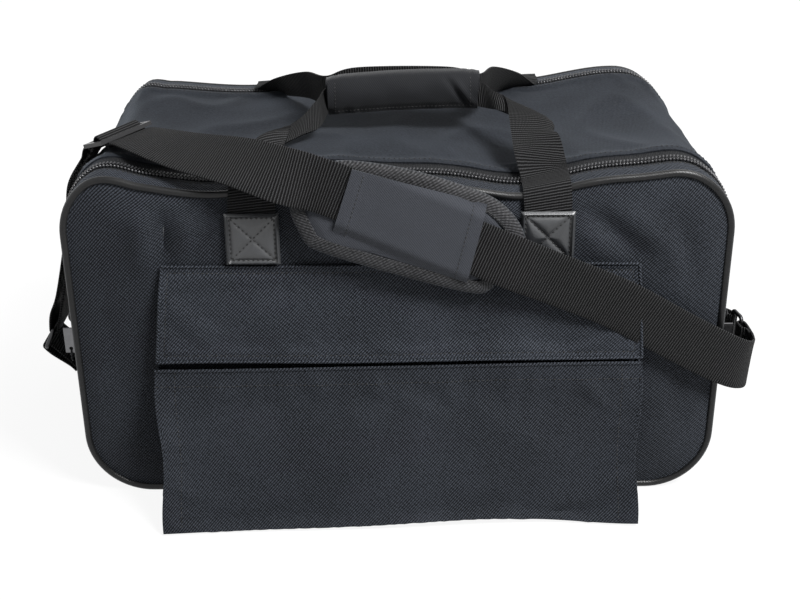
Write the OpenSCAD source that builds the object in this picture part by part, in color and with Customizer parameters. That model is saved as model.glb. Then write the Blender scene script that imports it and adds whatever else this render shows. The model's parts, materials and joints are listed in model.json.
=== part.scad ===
// Padded gig bag: a box-shaped padded gear bag with two zipped doors,
// a front pocket with a flap, two carry handles and a shoulder strap.
// Units are millimetres. X runs along the bag, -Y is the front, +Z is up.
// The origin is the centre of the base's flat face.

/* [Bag] */
// Width over the two ends
bag_w = 550; // [480:1:620]
// Height over the top
bag_h = 300; // [270:1:340]
// Depth between the front and back piping
bag_d = 300; // [260:1:340]
// Radius of the four corners seen from the front
corner_r = 56; // [40:1:70]
// Height of the line where both doors fold
fold_z = 131; // [120:1:140]
// How far the handles press the top down
top_dip = 14; // [8:1:18]

/* [Layers] */
// Outer fabric
skin_t = 1.4; // [1:0.1:2]
// Foam sheet
foam_t = 8; // [5:0.5:12]
// Lining fabric
lining_t = 0.8; // [0.6:0.1:1.2]
// Room between two sewn layers
ply_gap = 0.2; // [0.1:0.05:0.3]
// Radius of the piping round both panels
pipe_r = 3.2; // [2.4:0.1:4]
// Thickness of the stiff board in the base
board_t = 4; // [3:0.5:6]

/* [Zips] */
// Zip centre line behind the piping plane
zip_setback = 27; // [24:0.5:32]
// Height at which the zips end
zip_end_z = 150; // [142:1:160]
// Width of one half of the coil
coil_w = 3; // [2.5:0.1:4]
// Thickness of the coil
coil_t = 3.3; // [2.8:0.1:4]
// Gap between the two coil halves
chain_gap = 2.4; // [2.2:0.1:3]
// Width of one zip tape beside its coil
tape_w = 13; // [10:0.5:14]
// Length of a slider
slider_l = 16; // [14:0.5:20]
// Length of a pull tab from its bar
pull_l = 34; // [28:1:40]

/* [Pocket] */
// Width of the pocket and its flap
pocket_w = 410; // [340:1:430]
// Height of the seam that the flap hangs from
flap_top_z = 218; // [210:1:219]
// Height of the free edge of the flap
flap_edge_z = 139; // [137:1:150]
// Height of the pouch mouth
mouth_z = 124; // [110:1:124]
// Reach of the pouch in front of the panel at its mouth
mouth_out = 16; // [12:0.5:22]
// Reach of the pouch in front of the panel at its bottom
toe_out = 54; // [40:1:70]
// Fabric of the pouch and the flap
pouch_t = 1.6; // [1.2:0.1:2]

/* [Handles] */
// Width of the handle webbing
web_w = 38; // [30:1:40]
// Thickness of all webbing
web_t = 2; // [1.6:0.1:2.4]
// Half the distance between the two patches of a handle
patch_x = 121; // [105:1:140]
// Height of the patches above the seam that the flap hangs from
patch_rise = 4; // [4:1:8]
// Width and height of a patch
patch_w = 45; // [42:1:52]
// Length of the wrapped grip
grip_l = 136; // [120:1:140]
// Height of the wrapped grip
grip_h = 34; // [30:1:38]
// Thickness of the wrapped grip
grip_t = 24; // [20:1:26]

/* [Shoulder strap] */
// Width of the strap webbing
strap_w = 45; // [40:1:50]
// Thickness of the shoulder pad
pad_t = 12; // [8:0.5:12]
// Radius of the wire of the two strap rings
wire_r = 1.8; // [1.5:0.1:2.2]

/* [Hidden] */
$fn = 48;
eps = 0.01;

half_d = bag_d / 2;
end_x = bag_w / 2;
zip_y = half_d - zip_setback;
coil_out = chain_gap / 2 + coil_w;
// Edges of the outer fabric on both sides of the zip
band_y = zip_y - coil_out - 3;
rim_y = zip_y + coil_out + 3;
pipe_y = half_d - pipe_r;
rim_front = pipe_y - pipe_r - ply_gap;
panel_inset = 2 * pipe_r + ply_gap;
// Layers counted inward from the outer face
foam_in = skin_t + ply_gap;
lining_in = foam_in + foam_t + ply_gap;
inner_in = lining_in + lining_t;
tape_in = skin_t + ply_gap;
tape_t = 0.8;
coil_proud = coil_t - tape_in - tape_t;
foam_y = zip_y - coil_out - tape_w - 2;
base_seam = corner_r + 4;
// Two round dips along the top, one under each pair of handle legs
dip_x = patch_x - 9;
dip_half = min(dip_x - 12, end_x - corner_r - dip_x - 8);
dip_r = (dip_half * dip_half + top_dip * top_dip) / (2 * top_dip);
dip_z = bag_h - top_dip;
// The doors fold about a line just outside the panel
fold_y = half_d + 0.4;
fold_roll_r = 1.4;
fold_gap = 0.5;
// Webbing on the panel, and the patch over it
web_y = half_d + 0.6 + web_t / 2;
patch_y = web_y + web_t / 2 + ply_gap;
patch_t = 2;
patch_z = flap_top_z + patch_rise;
patch_top = patch_z + patch_w;
// Pocket flap
flap_y = half_d + 2;
flap_edge_y = half_d + 3.2;
flap_roll_r = 1.3;
pouch_back = half_d + 0.3;
pouch_floor = 0.8;
hem_r = 1.6;
// Grip
grip_x = 5.5;
grip_y = -4;
grip_z = bag_h + 7 + grip_h / 2;
grip_wall = 4;
grip_flap_t = 2.4;
grip_roll_r = 1.3;
grip_hinge_y = grip_y - grip_t / 2 - 0.4 - grip_roll_r;
grip_hinge_z = grip_z + grip_h / 2 - 2;
// Sliders, measured outward from the end's outer face
slider_z = zip_end_z + slider_l / 2 + 2;
plate_t = 1.6;
plate_out = coil_proud + 0.4;
plate_in = tape_in + tape_t + 0.4;
slider_w = 10;
bail_r = 5;
bail_wire = 1;
bail_x = plate_out + plate_t - 0.2;
pull_x = plate_out + plate_t + 2.2;
pull_bar_r = 0.9;
pull_t = 1.6;
// A pull tab hangs edge-on to the end, from a stem below its bar
pull_w = 10;
stem_l = 10;
// Pad plane
pad_tilt = 4;
pad_up = [0, sin(pad_tilt), cos(pad_tilt)];
pad_face = [0, -cos(pad_tilt), sin(pad_tilt)];
pad_at = [0, -half_d - 7 - pad_t, bag_h - 45];
// Outline of the pad on its own plane: along the bag, and up
pad_outline = [[-82, 17], [-80, 27], [-56, 50], [-46, 53], [-33, 53], [12, 46], [64, 28], [78, 21], [92, 8],
  [99, -6], [97, -12], [78, -45], [70, -50], [57, -52], [-62, -16], [-71, -8], [-79, 7]];
sleeve_outline = [[-35, 51], [71, 20.5], [56, -42], [-53.5, -6]];
sleeve_t = 1.2;
binding_w = 3;
strap_out = web_t / 2 + 0.5;
// Tri-glide where the strap turns over the left corner
glide_turn = 14.5;
glide_gap = 10;
glide_fall = 22;
glide_at = over_corner(glide_turn, -76, glide_gap);
glide_run = [-0.8 * cos(glide_fall), 0.6, -0.8 * sin(glide_fall)];
glide_side = [0.6, 0.79, 0.08];
glide_up = unit(cross(glide_run, -glide_side));
glide_t = 3.4;
glide_l = 25;
glide_bar = 3;
glide_wave = 5;
// Rings and anchors
ring_long = strap_w + 2 * wire_r + 4;
ring_rise = 18;
ring_corner = 4;
fold_r = wire_r + 0.4 + web_t / 2;
ring_z = 119;
ring_y = -75;
ring_x = end_x + 38;
ring_lean = 25;
right_ring_x = end_x + 26;
right_ring_y = -80;
right_ring_z = 116;
right_lean = 10;

// Plain helpers

function unit(v) = v / norm(v);
// A point over the top left corner: its turn from straight up, its place across the bag, its gap to the band
function over_corner(turn, y, gap) =
  [corner_r - end_x - (corner_r + gap) * sin(turn), y, bag_h - corner_r + (corner_r + gap) * cos(turn)];
function pick(list, i) = list[min(max(i, 0), len(list) - 1)];

// A point between list[i] and list[i + 1] on a smooth curve through the list
function curve(list, i, t) =
  let (a = pick(list, i - 1), b = pick(list, i), c = pick(list, i + 1), d = pick(list, i + 2))
  0.5 * (2 * b + (c - a) * t + (2 * a - 5 * b + 4 * c - d) * t * t + (3 * b - a - 3 * c + d) * t * t * t);

function curve_points(list, steps) =
  [for (i = [0 : len(list) - 2], s = [0 : steps - 1]) curve(list, i, s / steps), list[len(list) - 1]];

// Flat webbing through stations of [centre, direction across, width if it is folded narrower]
module webbing(stations, width, thick, steps = 4) {
  mids = curve_points([for (s = stations) s[0]], steps);
  sides = curve_points([for (s = stations) unit(s[1])], steps);
  widths = curve_points([for (s = stations) len(s) > 2 ? s[2] : width], steps);
  last = len(mids) - 1;
  rings = [for (i = [0 : last])
    let (run = unit(mids[min(i + 1, last)] - mids[max(i - 1, 0)]),
         face = unit(cross(run, sides[i])),
         side = unit(cross(face, run)))
    [mids[i] + side * widths[i] / 2 + face * thick / 2, mids[i] - side * widths[i] / 2 + face * thick / 2,
     mids[i] - side * widths[i] / 2 - face * thick / 2, mids[i] + side * widths[i] / 2 - face * thick / 2]];
  points = [for (r = rings, p = r) p];
  skin = [for (i = [0 : last - 1], k = [0 : 3])
    let (a = 4 * i + k, b = 4 * i + (k + 1) % 4, c = b + 4, d = a + 4)
    each [[a, b, c], [a, c, d]]];
  polyhedron(points, concat(skin, [[2, 1, 0], [3, 2, 0]],
    [[4 * last, 4 * last + 1, 4 * last + 2], [4 * last, 4 * last + 2, 4 * last + 3]]));
}

module box(low, high) {
  translate(low) cube(high - low);
}

module rounded_box(inset) {
  w = bag_w - 2 * inset;
  h = bag_h - 2 * inset;
  r = corner_r - inset;
  translate([-w / 2 + r, inset]) square([w - 2 * r, h]);
  translate([-w / 2, inset + r]) square([w, h - 2 * r]);
  for (x = [-1, 1], z = [inset + r, inset + h - r]) translate([x * (w / 2 - r), z]) circle(r, $fn = 96);
}

// Outline of the bag seen from the front, with its two dips, drawn in by an inset
module outline(inset) {
  difference() {
    rounded_box(inset);
    for (x = [-1, 1]) translate([x * dip_x, dip_z + dip_r]) circle(dip_r + inset, $fn = 240);
  }
}

module slab(inset, low_y, high_y) {
  translate([0, high_y, 0]) rotate([90, 0, 0]) linear_extrude(high_y - low_y) outline(inset);
}

module between(low_z, high_z) {
  box([-bag_w, -bag_d, low_z], [bag_w, bag_d, high_z]);
}

// Part of a tube that follows the outline, between two insets and two heights
module tube(out_inset, in_inset, low_y, high_y, low_z, high_z) {
  difference() {
    intersection() {
      slab(out_inset, low_y, high_y);
      between(low_z, high_z);
    }
    slab(in_inset, low_y - 1, high_y + 1);
  }
}

module panel(inset, low_y, high_y, low_z, high_z) {
  intersection() {
    slab(inset, low_y, high_y);
    between(low_z, high_z);
  }
}

module rod_x(length, radius) {
  rotate([0, 90, 0]) cylinder(h = length, r = radius, center = true);
}

module rod_y(length, radius) {
  rotate([90, 0, 0]) cylinder(h = length, r = radius, center = true);
}

module back_half() {
  mirror([0, 1, 0]) children();
}

// Root of the bag

module band_skin() {
  color("#26282c") tube(0, skin_t, -band_y, band_y, base_seam + ply_gap, bag_h + 1);
}

module base_skin() {
  color("#1f2124") tube(0, skin_t, -band_y, band_y, -1, base_seam);
}

module band_foam() {
  color("#4a4d52") tube(foam_in, foam_in + foam_t, -foam_y, foam_y, -1, bag_h + 1);
}

module band_lining() {
  color("#34373c") tube(lining_in, inner_in, -foam_y - 4, foam_y + 4, -1, bag_h + 1);
}

module base_board() {
  reach = end_x - corner_r - 4;
  color("#3a3a3a") box([-reach, -foam_y, inner_in + ply_gap], [reach, foam_y, inner_in + ply_gap + board_t]);
}

// Lower panels, sewn to the band and the base

module lower_skin() {
  panel(panel_inset, -half_d, -half_d + skin_t, -1, fold_z - fold_roll_r - 0.3);
}

module lower_foam() {
  panel(panel_inset + 2, -half_d + foam_in, -half_d + foam_in + foam_t, -1, fold_z - fold_gap);
}

module lower_lining() {
  panel(panel_inset + 2, -half_d + lining_in, -half_d + inner_in, -1, fold_z - fold_gap);
}

module lower_rim() {
  tube(0, skin_t, -rim_front, -band_y - ply_gap, -1, fold_z - fold_gap);
}

// Piping along the top, round both dips. Its straight stretches run a little into the round ones
module top_piping(turn_x) {
  path_r = dip_r + pipe_r;
  turn = acos((path_r - top_dip) / path_r);
  reach = path_r * sin(turn);
  lap = 0.6;
  middle = dip_x - reach + lap;
  side = dip_x + reach - lap;
  translate([0, -pipe_y, bag_h - pipe_r]) rod_x(2 * middle, pipe_r);
  for (x = [-1, 1]) {
    translate([x * (side + turn_x) / 2, -pipe_y, bag_h - pipe_r]) rod_x(turn_x - side, pipe_r);
    translate([x * dip_x, -pipe_y, dip_z + dip_r]) rotate([90, 0, 0]) rotate([0, 0, -90 - turn])
      rotate_extrude(angle = 2 * turn, $fn = 240) translate([path_r, 0]) circle(pipe_r, $fn = 48);
  }
}

// Piping along the outline, from the sides to the bottom or to the top
module piping(end, top) {
  path_r = corner_r - pipe_r;
  turn_x = end_x - corner_r;
  turn_z = top ? bag_h - corner_r : corner_r;
  for (x = [-1, 1]) {
    translate([x * (end_x - pipe_r), -pipe_y, min(end, turn_z)]) cylinder(h = abs(turn_z - end), r = pipe_r);
    translate([x * turn_x, -pipe_y, turn_z]) rotate([90, 0, 0])
      rotate([0, 0, x > 0 ? (top ? 0 : -90) : (top ? 90 : 180)])
      rotate_extrude(angle = 90) translate([path_r, 0]) circle(pipe_r);
  }
  if (top) top_piping(turn_x);
  else translate([0, -pipe_y, pipe_r]) rod_x(2 * turn_x, pipe_r);
}

module front_lower_skin() { color("#25272b") lower_skin(); }
module front_lower_foam() { color("#4a4d52") lower_foam(); }
module front_lower_lining() { color("#34373c") lower_lining(); }
module front_lower_rim() { color("#26282c") lower_rim(); }
module front_lower_piping() { color("#131416") piping(fold_z - fold_gap, false); }
module back_lower_skin() { color("#25272b") back_half() lower_skin(); }
module back_lower_foam() { color("#4a4d52") back_half() lower_foam(); }
module back_lower_lining() { color("#34373c") back_half() lower_lining(); }
module back_lower_rim() { color("#26282c") back_half() lower_rim(); }
module back_lower_piping() { color("#131416") back_half() piping(fold_z - fold_gap, false); }

// Pocket on the lower front panel

module pouch_block(wall, width) {
  top = mouth_z - hem_r - ply_gap;
  translate([-width / 2, 0, 0]) rotate([90, 0, 90]) linear_extrude(width) polygon([
    [-pouch_back + wall, pouch_floor + wall],
    [-pouch_back - toe_out + 1.1 * wall, pouch_floor + wall],
    [-pouch_back - mouth_out + 1.05 * wall, top + wall],
    [-pouch_back + wall, top + wall]]);
}

module pouch() {
  color("#232529") difference() {
    pouch_block(0, pocket_w);
    pouch_block(pouch_t, pocket_w - 2 * pouch_t);
  }
}

module pouch_hem() {
  color("#1b1c1f") translate([0, -pouch_back - mouth_out + pouch_t / 2, mouth_z]) rod_x(pocket_w, hem_r);
}

// Zips: the band half stays on the bag, the door half leaves with the door

module zip_band() {
  edge = zip_y - chain_gap / 2;
  tape_edge = zip_y - coil_out;
  tube(-coil_proud, tape_in + tape_t, -edge, -tape_edge, zip_end_z, bag_h + 5);
  tube(tape_in, tape_in + tape_t, -tape_edge, -tape_edge + tape_w, fold_z + fold_gap, bag_h + 1);
  for (x = [-1, 1]) scale([x, 1, 1]) {
    box([end_x - tape_in - tape_t, -rim_y + 0.5, fold_z + fold_gap],
      [end_x - tape_in, -tape_edge + 1, zip_end_z]);
    box([end_x - tape_in - tape_t, -zip_y - coil_out, zip_end_z - 5],
      [end_x + coil_proud, -tape_edge, zip_end_z + eps]);
  }
}

module zip_door() {
  edge = zip_y + chain_gap / 2;
  tape_edge = zip_y + coil_out;
  tube(-coil_proud, tape_in + tape_t, -tape_edge, -edge, zip_end_z + 0.6, bag_h + 5);
  tube(tape_in, tape_in + tape_t, -tape_edge - tape_w, -tape_edge, zip_end_z + 0.6, bag_h + 1);
}

module front_zip_band() { color("#101113") zip_band(); }
module back_zip_band() { color("#101113") back_half() zip_band(); }
module front_zip_door() { color("#101113") zip_door(); }
module back_zip_door() { color("#101113") back_half() zip_door(); }

// Doors

module door_skin() {
  panel(panel_inset, -half_d, -half_d + skin_t, fold_z + 1, bag_h);
  translate([0, -fold_y, fold_z]) rod_x(bag_w - 2 * panel_inset, fold_roll_r);
}

module door_foam() {
  panel(panel_inset + 2, -half_d + foam_in, -half_d + foam_in + foam_t, fold_z + fold_gap, bag_h);
}

module door_lining() {
  panel(panel_inset + 2, -half_d + lining_in, -half_d + inner_in, fold_z + fold_gap, bag_h);
}

module door_rim() {
  tube(0, skin_t, -rim_front, -rim_y, fold_z + fold_gap, bag_h + 1);
}

module patches() {
  for (x = [-1, 1])
    box([x * patch_x - patch_w / 2, -patch_y - patch_t, patch_z],
      [x * patch_x + patch_w / 2, -patch_y, patch_top - 1]);
}

module front_door_skin() { color("#25272b") door_skin(); }
module front_door_foam() { color("#4a4d52") door_foam(); }
module front_door_lining() { color("#34373c") door_lining(); }
module front_door_rim() { color("#26282c") door_rim(); }
module front_door_piping() { color("#131416") piping(fold_z + fold_gap, true); }
module front_patches() { color("#0e0f10") patches(); }
module back_door_skin() { color("#25272b") back_half() door_skin(); }
module back_door_foam() { color("#4a4d52") back_half() door_foam(); }
module back_door_lining() { color("#34373c") back_half() door_lining(); }
module back_door_rim() { color("#26282c") back_half() door_rim(); }
module back_door_piping() { color("#131416") back_half() piping(fold_z + fold_gap, true); }
module back_patches() { color("#0e0f10") back_half() patches(); }

// Handles: one length of webbing each, from patch to patch

// The stretch from a patch over the top edge, on the side given by x
function edge_leg(x) = [
  [[x * patch_x, -web_y, patch_z + 2], [-x, 0, 0]],
  [[x * patch_x, -web_y, patch_top], [-x, 0, 0]],
  [[x * patch_x, -web_y - 0.2, (patch_top + dip_z) / 2], [-x, 0, 0]],
  [[x * (patch_x - 1), -half_d + 1, dip_z + 3.8], [-x, 0, 0]],
  [[x * (patch_x - 2), -zip_y, dip_z + 4.6], [-x, 0, 0]],
  [[x * (patch_x - 4), -zip_y + 37, dip_z + 12], [-x, 0, 0.02]]];

// The front stretch goes on along the top before it turns to the grip
function front_leg(x) = concat(edge_leg(x), [[[x * (patch_x - 7), -zip_y + 71, bag_h + 13], [-x, 0.1, 0.05]]]);

function reversed(list) = [for (i = [len(list) - 1 : -1 : 0]) list[i]];
function to_back(list) = [for (s = list) [[s[0].x, -s[0].y, s[0].z], [s[1].x, -s[1].y, s[1].z]]];

module front_handle() {
  folded = grip_h - 2 * grip_wall - 4;
  side = [0, -0.4, -0.92];
  low_x = grip_x - grip_l / 2;
  high_x = grip_x + grip_l / 2;
  stations = concat(front_leg(-1), [
    [[low_x - 33, -21, grip_z - 3], [0.62, -0.62, -0.48], 0.8 * web_w],
    [[low_x - 3, grip_y, grip_z], side, folded],
    [[grip_x, grip_y, grip_z], side, folded],
    [[high_x + 3, grip_y, grip_z], side, folded],
    [[high_x + 31, -21, grip_z - 3], [-0.62, -0.62, -0.48], 0.8 * web_w]],
    reversed(front_leg(1)));
  color("#3b3e43") webbing(stations, web_w, web_t);
}

module back_handle() {
  folded = grip_h - 5;
  rest_y = grip_y + grip_t / 2 + 0.8 + web_t / 2;
  rest_z = grip_z - 4;
  side = [0, -0.05, -1];
  low_x = grip_x - grip_l / 2;
  high_x = grip_x + grip_l / 2;
  stations = concat(to_back(edge_leg(-1)), [
    [[low_x - 22, 56, grip_z - 8], [0.2, -0.3, -0.93], 0.8 * web_w],
    [[low_x, rest_y + 6, rest_z], side, folded],
    [[grip_x, rest_y + 0.4, rest_z], side, folded],
    [[high_x, rest_y + 6, rest_z], side, folded],
    [[high_x + 20, 56, grip_z - 8], [-0.2, -0.3, -0.93], 0.8 * web_w]],
    reversed(to_back(edge_leg(1))));
  color("#3b3e43") webbing(stations, web_w, web_t);
}

module rounded(w, h, r) {
  square([w - 2 * r, h], center = true);
  square([w, h - 2 * r], center = true);
  for (x = [-1, 1], y = [-1, 1]) translate([x * (w / 2 - r), y * (h / 2 - r)]) circle(r);
}

// Padded wrap round the front webbing, closed by a flap
module grip_wrap() {
  color("#26282c") translate([grip_x - grip_l / 2, grip_y, grip_z]) rotate([90, 0, 90]) linear_extrude(grip_l)
    difference() {
      rounded(grip_t, grip_h, 9);
      rounded(grip_t - 2 * grip_wall, grip_h - 2 * grip_wall, 5);
    }
}

module grip_flap() {
  low_z = grip_z - grip_h / 2 + 2;
  color("#2c2e33") {
    box([grip_x - grip_l / 2 + 1, grip_hinge_y - grip_flap_t / 2, low_z],
      [grip_x + grip_l / 2 - 1, grip_hinge_y + grip_flap_t / 2, grip_hinge_z]);
    translate([grip_x, grip_hinge_y, grip_hinge_z]) rod_x(grip_l - 2, grip_roll_r);
  }
}

// Flap over the pocket, sewn to the front door along its top

module pocket_flap() {
  half = pouch_t / 2;
  color("#2a2c31") {
    translate([-pocket_w / 2, 0, 0]) rotate([90, 0, 90]) linear_extrude(pocket_w) polygon([
      [-flap_y - half, flap_top_z], [-flap_edge_y - half, flap_edge_z],
      [-flap_edge_y + half, flap_edge_z], [-flap_y + half, flap_top_z]]);
    translate([0, -flap_y, flap_top_z]) rod_x(pocket_w, flap_roll_r);
  }
}

// Zip sliders with their pull tabs

module at_zip(x, y) {
  translate([x * end_x, y * zip_y, slider_z]) mirror([x < 0 ? 1 : 0, 0, 0]) children();
}

module slider() {
  box([plate_out, -slider_w / 2, -slider_l / 2], [plate_out + plate_t, slider_w / 2, slider_l / 2]);
  box([-plate_in - plate_t, -slider_w / 2, -slider_l / 2], [-plate_in, slider_w / 2, slider_l / 2]);
  box([-plate_in - 0.5, -chain_gap / 2 + 0.3, 1], [plate_out + 0.5, chain_gap / 2 - 0.3, slider_l / 2 - 1]);
  translate([bail_x, 0, 0]) rotate([90, 0, 0]) rotate([0, 0, -90])
    rotate_extrude(angle = 180) translate([bail_r, 0]) circle(bail_wire);
}

module pull() {
  translate([pull_x, 0, 0]) {
    rod_y(7, pull_bar_r);
    for (y = [-1, 1]) translate([-pull_t / 2, y * 3 - 0.5, -stem_l]) cube([pull_t, 1, stem_l + 0.4]);
    box([-pull_t / 2, -3.5, -stem_l - 1.5], [pull_t / 2, 3.5, -stem_l + 0.5]);
    difference() {
      box([-pull_t / 2, -pull_t / 2, -pull_l], [pull_w - pull_t / 2, pull_t / 2, -stem_l - 0.5]);
      translate([(pull_w - pull_t) / 2, 0, -pull_l + 4]) rod_y(pull_t + 2, 1.7);
    }
  }
}

module front_left_slider() { color("#17181a") at_zip(-1, -1) slider(); }
module front_right_slider() { color("#17181a") at_zip(1, -1) slider(); }
module back_left_slider() { color("#17181a") at_zip(-1, 1) slider(); }
module back_right_slider() { color("#17181a") at_zip(1, 1) slider(); }
module front_left_pull() { color("#1c1d1f") at_zip(-1, -1) pull(); }
module front_right_pull() { color("#1c1d1f") at_zip(1, -1) pull(); }
module back_left_pull() { color("#1c1d1f") at_zip(-1, 1) pull(); }
module back_right_pull() { color("#1c1d1f") at_zip(1, 1) pull(); }

// Shoulder pad, with the strap over it and a sleeve over the strap

// A point of the pad's front plane, and one that stands off it
function on_pad(x, h, out = 0) = pad_at + [x, 0, 0] + pad_up * h + pad_face * out;

function left_of(v) = [-v.y, v.x];
function grown(list, by) = [for (i = [0 : len(list) - 1])
  let (last = len(list), run = list[(i + 1) % last] - list[(i + last - 1) % last])
  list[i] + by * unit(left_of(run))];

module pad_plate(list, low, high) {
  translate(pad_at) rotate([90 - pad_tilt, 0, 0]) translate([0, 0, low])
    linear_extrude(high - low) polygon(list);
}

module shoulder_pad() {
  color("#24262a") pad_plate(pad_outline, -pad_t, 0);
}

module pad_binding() {
  color("#1a1b1e") difference() {
    pad_plate(grown(pad_outline, binding_w), -0.85 * pad_t, -0.15 * pad_t);
    pad_plate(grown(pad_outline, ply_gap), -pad_t, 1);
  }
}

module pad_sleeve() {
  low = web_t + 1;
  color("#2b2d32") pad_plate(sleeve_outline, low, low + sleeve_t);
}

strap_slope = [0.371, 0, 0] + pad_up * 0.928;
// Where the strap leaves the front door, on both sides, and the way it runs there
strap_join_left = [-126, -half_d - 3, bag_h + 9];
strap_join_right = [end_x + 5, -half_d - 8, 131];
strap_run_left = unit([-0.86, 0.4, 0.16]);
strap_run_right = unit([0.87, 0.16, -0.47]);
strap_side_left = [0.37, 0.68, 0.62];
strap_side_right = [0.42, 0.05, 0.9];

module strap_front() {
  color("#3b3e43") webbing([
    [strap_join_left, strap_side_left],
    [strap_join_left - 10 * strap_run_left, strap_side_left],
    [on_pad(-90, 48, strap_out + 3), [0.28, 0.44, 0.85]],
    [on_pad(-64, 40, strap_out + 1.4), strap_slope],
    [on_pad(-44, 32.5, strap_out), strap_slope],
    [on_pad(9, 10, strap_out), strap_slope],
    [on_pad(62, -13.5, strap_out), strap_slope],
    [on_pad(98, -29, strap_out), strap_slope],
    [[128, -half_d - 18, 212], [0.42, 0, 0.91]],
    [[182, -half_d - 14, 187], [0.44, 0, 0.9]],
    [[237, -half_d - 12, 155], [0.45, 0, 0.9]],
    [strap_join_right - 10 * strap_run_right, strap_side_right],
    [strap_join_right, strap_side_right]], strap_w, web_t);
}

// A fold round a ring's bar: out along u, round the bar, and back on the n side
function fold_round(at, u, n, side, lead, back) = [
  [at - u * lead - n * fold_r, side],
  [at - n * fold_r, side],
  [at + (u - n) * fold_r * sqrt(0.5), side],
  [at + u * fold_r, side],
  [at + (u + n) * fold_r * sqrt(0.5), side],
  [at + n * fold_r, side],
  [at - u * 9 + n * (fold_r - 0.4), side],
  [at - u * (back - 8) - n * (fold_r - web_t - 0.6), side],
  [at - u * back - n * (fold_r - web_t - 0.5), side]];

// Bars of the left ring lie along Y, those of the right ring stand along Z
left_bar = [-ring_x, ring_y, ring_z];
left_far_bar = left_bar + ring_rise * [sin(ring_lean), 0, cos(ring_lean)];
right_bar = [right_ring_x, right_ring_y, right_ring_z];
right_far_bar = right_bar + ring_rise * [sin(right_lean), -cos(right_lean), 0];

module strap_tail_left() {
  outer = [-0.15, 0, -0.99];
  inward = [0.99, 0, -0.15];
  fold = fold_round(left_far_bar, unit(outer), unit(inward), [0, 1, 0], 14, 24);
  color("#3b3e43") webbing(concat([
    [strap_join_left + 0.9 * strap_run_left, strap_side_left],
    [strap_join_left + 10 * strap_run_left, strap_side_left],
    [[-172, -half_d + 26, bag_h + 9], [0.45, 0.8, 0.38]],
    [glide_at - glide_run * 20 - glide_up * 4, glide_side],
    [glide_at - glide_run * 11 - glide_up * glide_wave, glide_side],
    [glide_at + glide_up * glide_wave, glide_side],
    [glide_at + glide_run * 11 - glide_up * glide_wave, glide_side],
    [glide_at + glide_run * 20 - glide_up, glide_side],
    [over_corner(45, -58.5, 8), [0.15, 0.98, 0.05]],
    [over_corner(70, -61, 8), [0.06, 1, 0]],
    [[-end_x - 9, -66, bag_h - 60], [0, 1, 0]],
    [[-end_x - 15, -72, bag_h - 95], [0, 1, 0]],
    [[-end_x - 24, -75, bag_h - 132], [0, 1, 0]]],
    [for (i = [0 : 5]) fold[i]], [
    [[-end_x - 19, -75, bag_h - 134], [0, 1, 0]],
    [[-end_x - 10.4, -72, bag_h - 96], [0, 1, 0]],
    [[-end_x - 4.2, -66, bag_h - 60], [0, 1, 0]],
    [over_corner(70, -61, 3.4), [0.06, 1, 0]],
    [over_corner(45, -58.5, 4.2), [0.1, 0.99, 0.03]],
    [over_corner(38, -59, 5.2), [0.1, 0.99, 0.03]]]), strap_w, web_t);
}

module strap_tail_right() {
  u = unit([-0.08, 1, 0]);
  n = unit([-1, -0.08, 0]);
  color("#3b3e43") webbing(concat([
    [strap_join_right + 1.1 * strap_run_right, strap_side_right],
    [strap_join_right + 8 * strap_run_right, strap_side_right],
    [[end_x + 24, -half_d + 6, 121], [0.16, 0.1, 0.98]],
    [[end_x + 31, -half_d + 24, 117.5], [0.04, 0, 1]]],
    fold_round(right_far_bar, u, n, [0, 0, 1], 9, 21)), strap_w, web_t);
}

module tri_glide() {
  run = glide_run;
  up = glide_up;
  side = cross(up, run);
  slot = (glide_l - 2 * glide_bar - 4) / 2;
  color("#0c0c0d") multmatrix([[run.x, side.x, up.x, glide_at.x], [run.y, side.y, up.y, glide_at.y],
    [run.z, side.z, up.z, glide_at.z], [0, 0, 0, 1]])
    difference() {
      cube([glide_l, strap_w + 11, glide_t], center = true);
      for (x = [-1, 1]) translate([x * (2 + slot / 2), 0, 0])
        cube([slot, strap_w + 4, glide_t + 1], center = true);
    }
}

// Webbing anchors on the ends, each with a wire ring

module left_anchor() {
  u = unit([-0.66, 0, 0.75]);
  n = unit([-0.75, 0, -0.66]);
  wall = -end_x - 0.3 - web_t / 2;
  fold = fold_round(left_bar, u, n, [0, 1, 0], 40, 34);
  color("#33363b") webbing(concat([[[wall, ring_y, 48], [0, 1, 0]],
    [[wall, ring_y, 60], [0, 1, 0]], [[wall - 1, ring_y, 70], [0, 1, 0]]], fold),
    strap_w, web_t);
}

module right_anchor() {
  u = unit([0.46, -0.89, 0]);
  n = unit([0.89, 0.46, 0]);
  wall = end_x + 0.3 + web_t / 2;
  fold = fold_round(right_bar, u, n, [0, 0, 1], 36, 30);
  color("#33363b") webbing(concat([[[wall, -2, right_ring_z], [0, 0, 1]],
    [[wall, -18, right_ring_z], [0, 0, 1]], [[wall + 1, -32, right_ring_z], [0, 0, 1]]], fold),
    strap_w, web_t);
}

// Ring of wire: one bar on the local Y axis, the other one rise away along Z
module wire_ring() {
  half = ring_long / 2;
  for (z = [0, ring_rise]) translate([0, 0, z]) rod_y(ring_long - 2 * ring_corner, wire_r);
  for (y = [-1, 1]) {
    translate([0, y * half, ring_corner]) cylinder(h = ring_rise - 2 * ring_corner, r = wire_r);
    for (top = [false, true])
      translate([0, y * (half - ring_corner), top ? ring_rise - ring_corner : ring_corner])
        rotate([0, 90, 0]) rotate([0, 0, y > 0 ? (top ? 90 : 0) : (top ? 180 : -90)])
        rotate_extrude(angle = 90) translate([ring_corner, 0]) circle(wire_r);
  }
}

module left_ring() {
  color("#111213") translate(left_bar) rotate([0, ring_lean, 0]) wire_ring();
}

module right_ring() {
  color("#111213") translate(right_bar) rotate([0, 0, right_lean]) rotate([90, 0, 0]) wire_ring();
}

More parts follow.
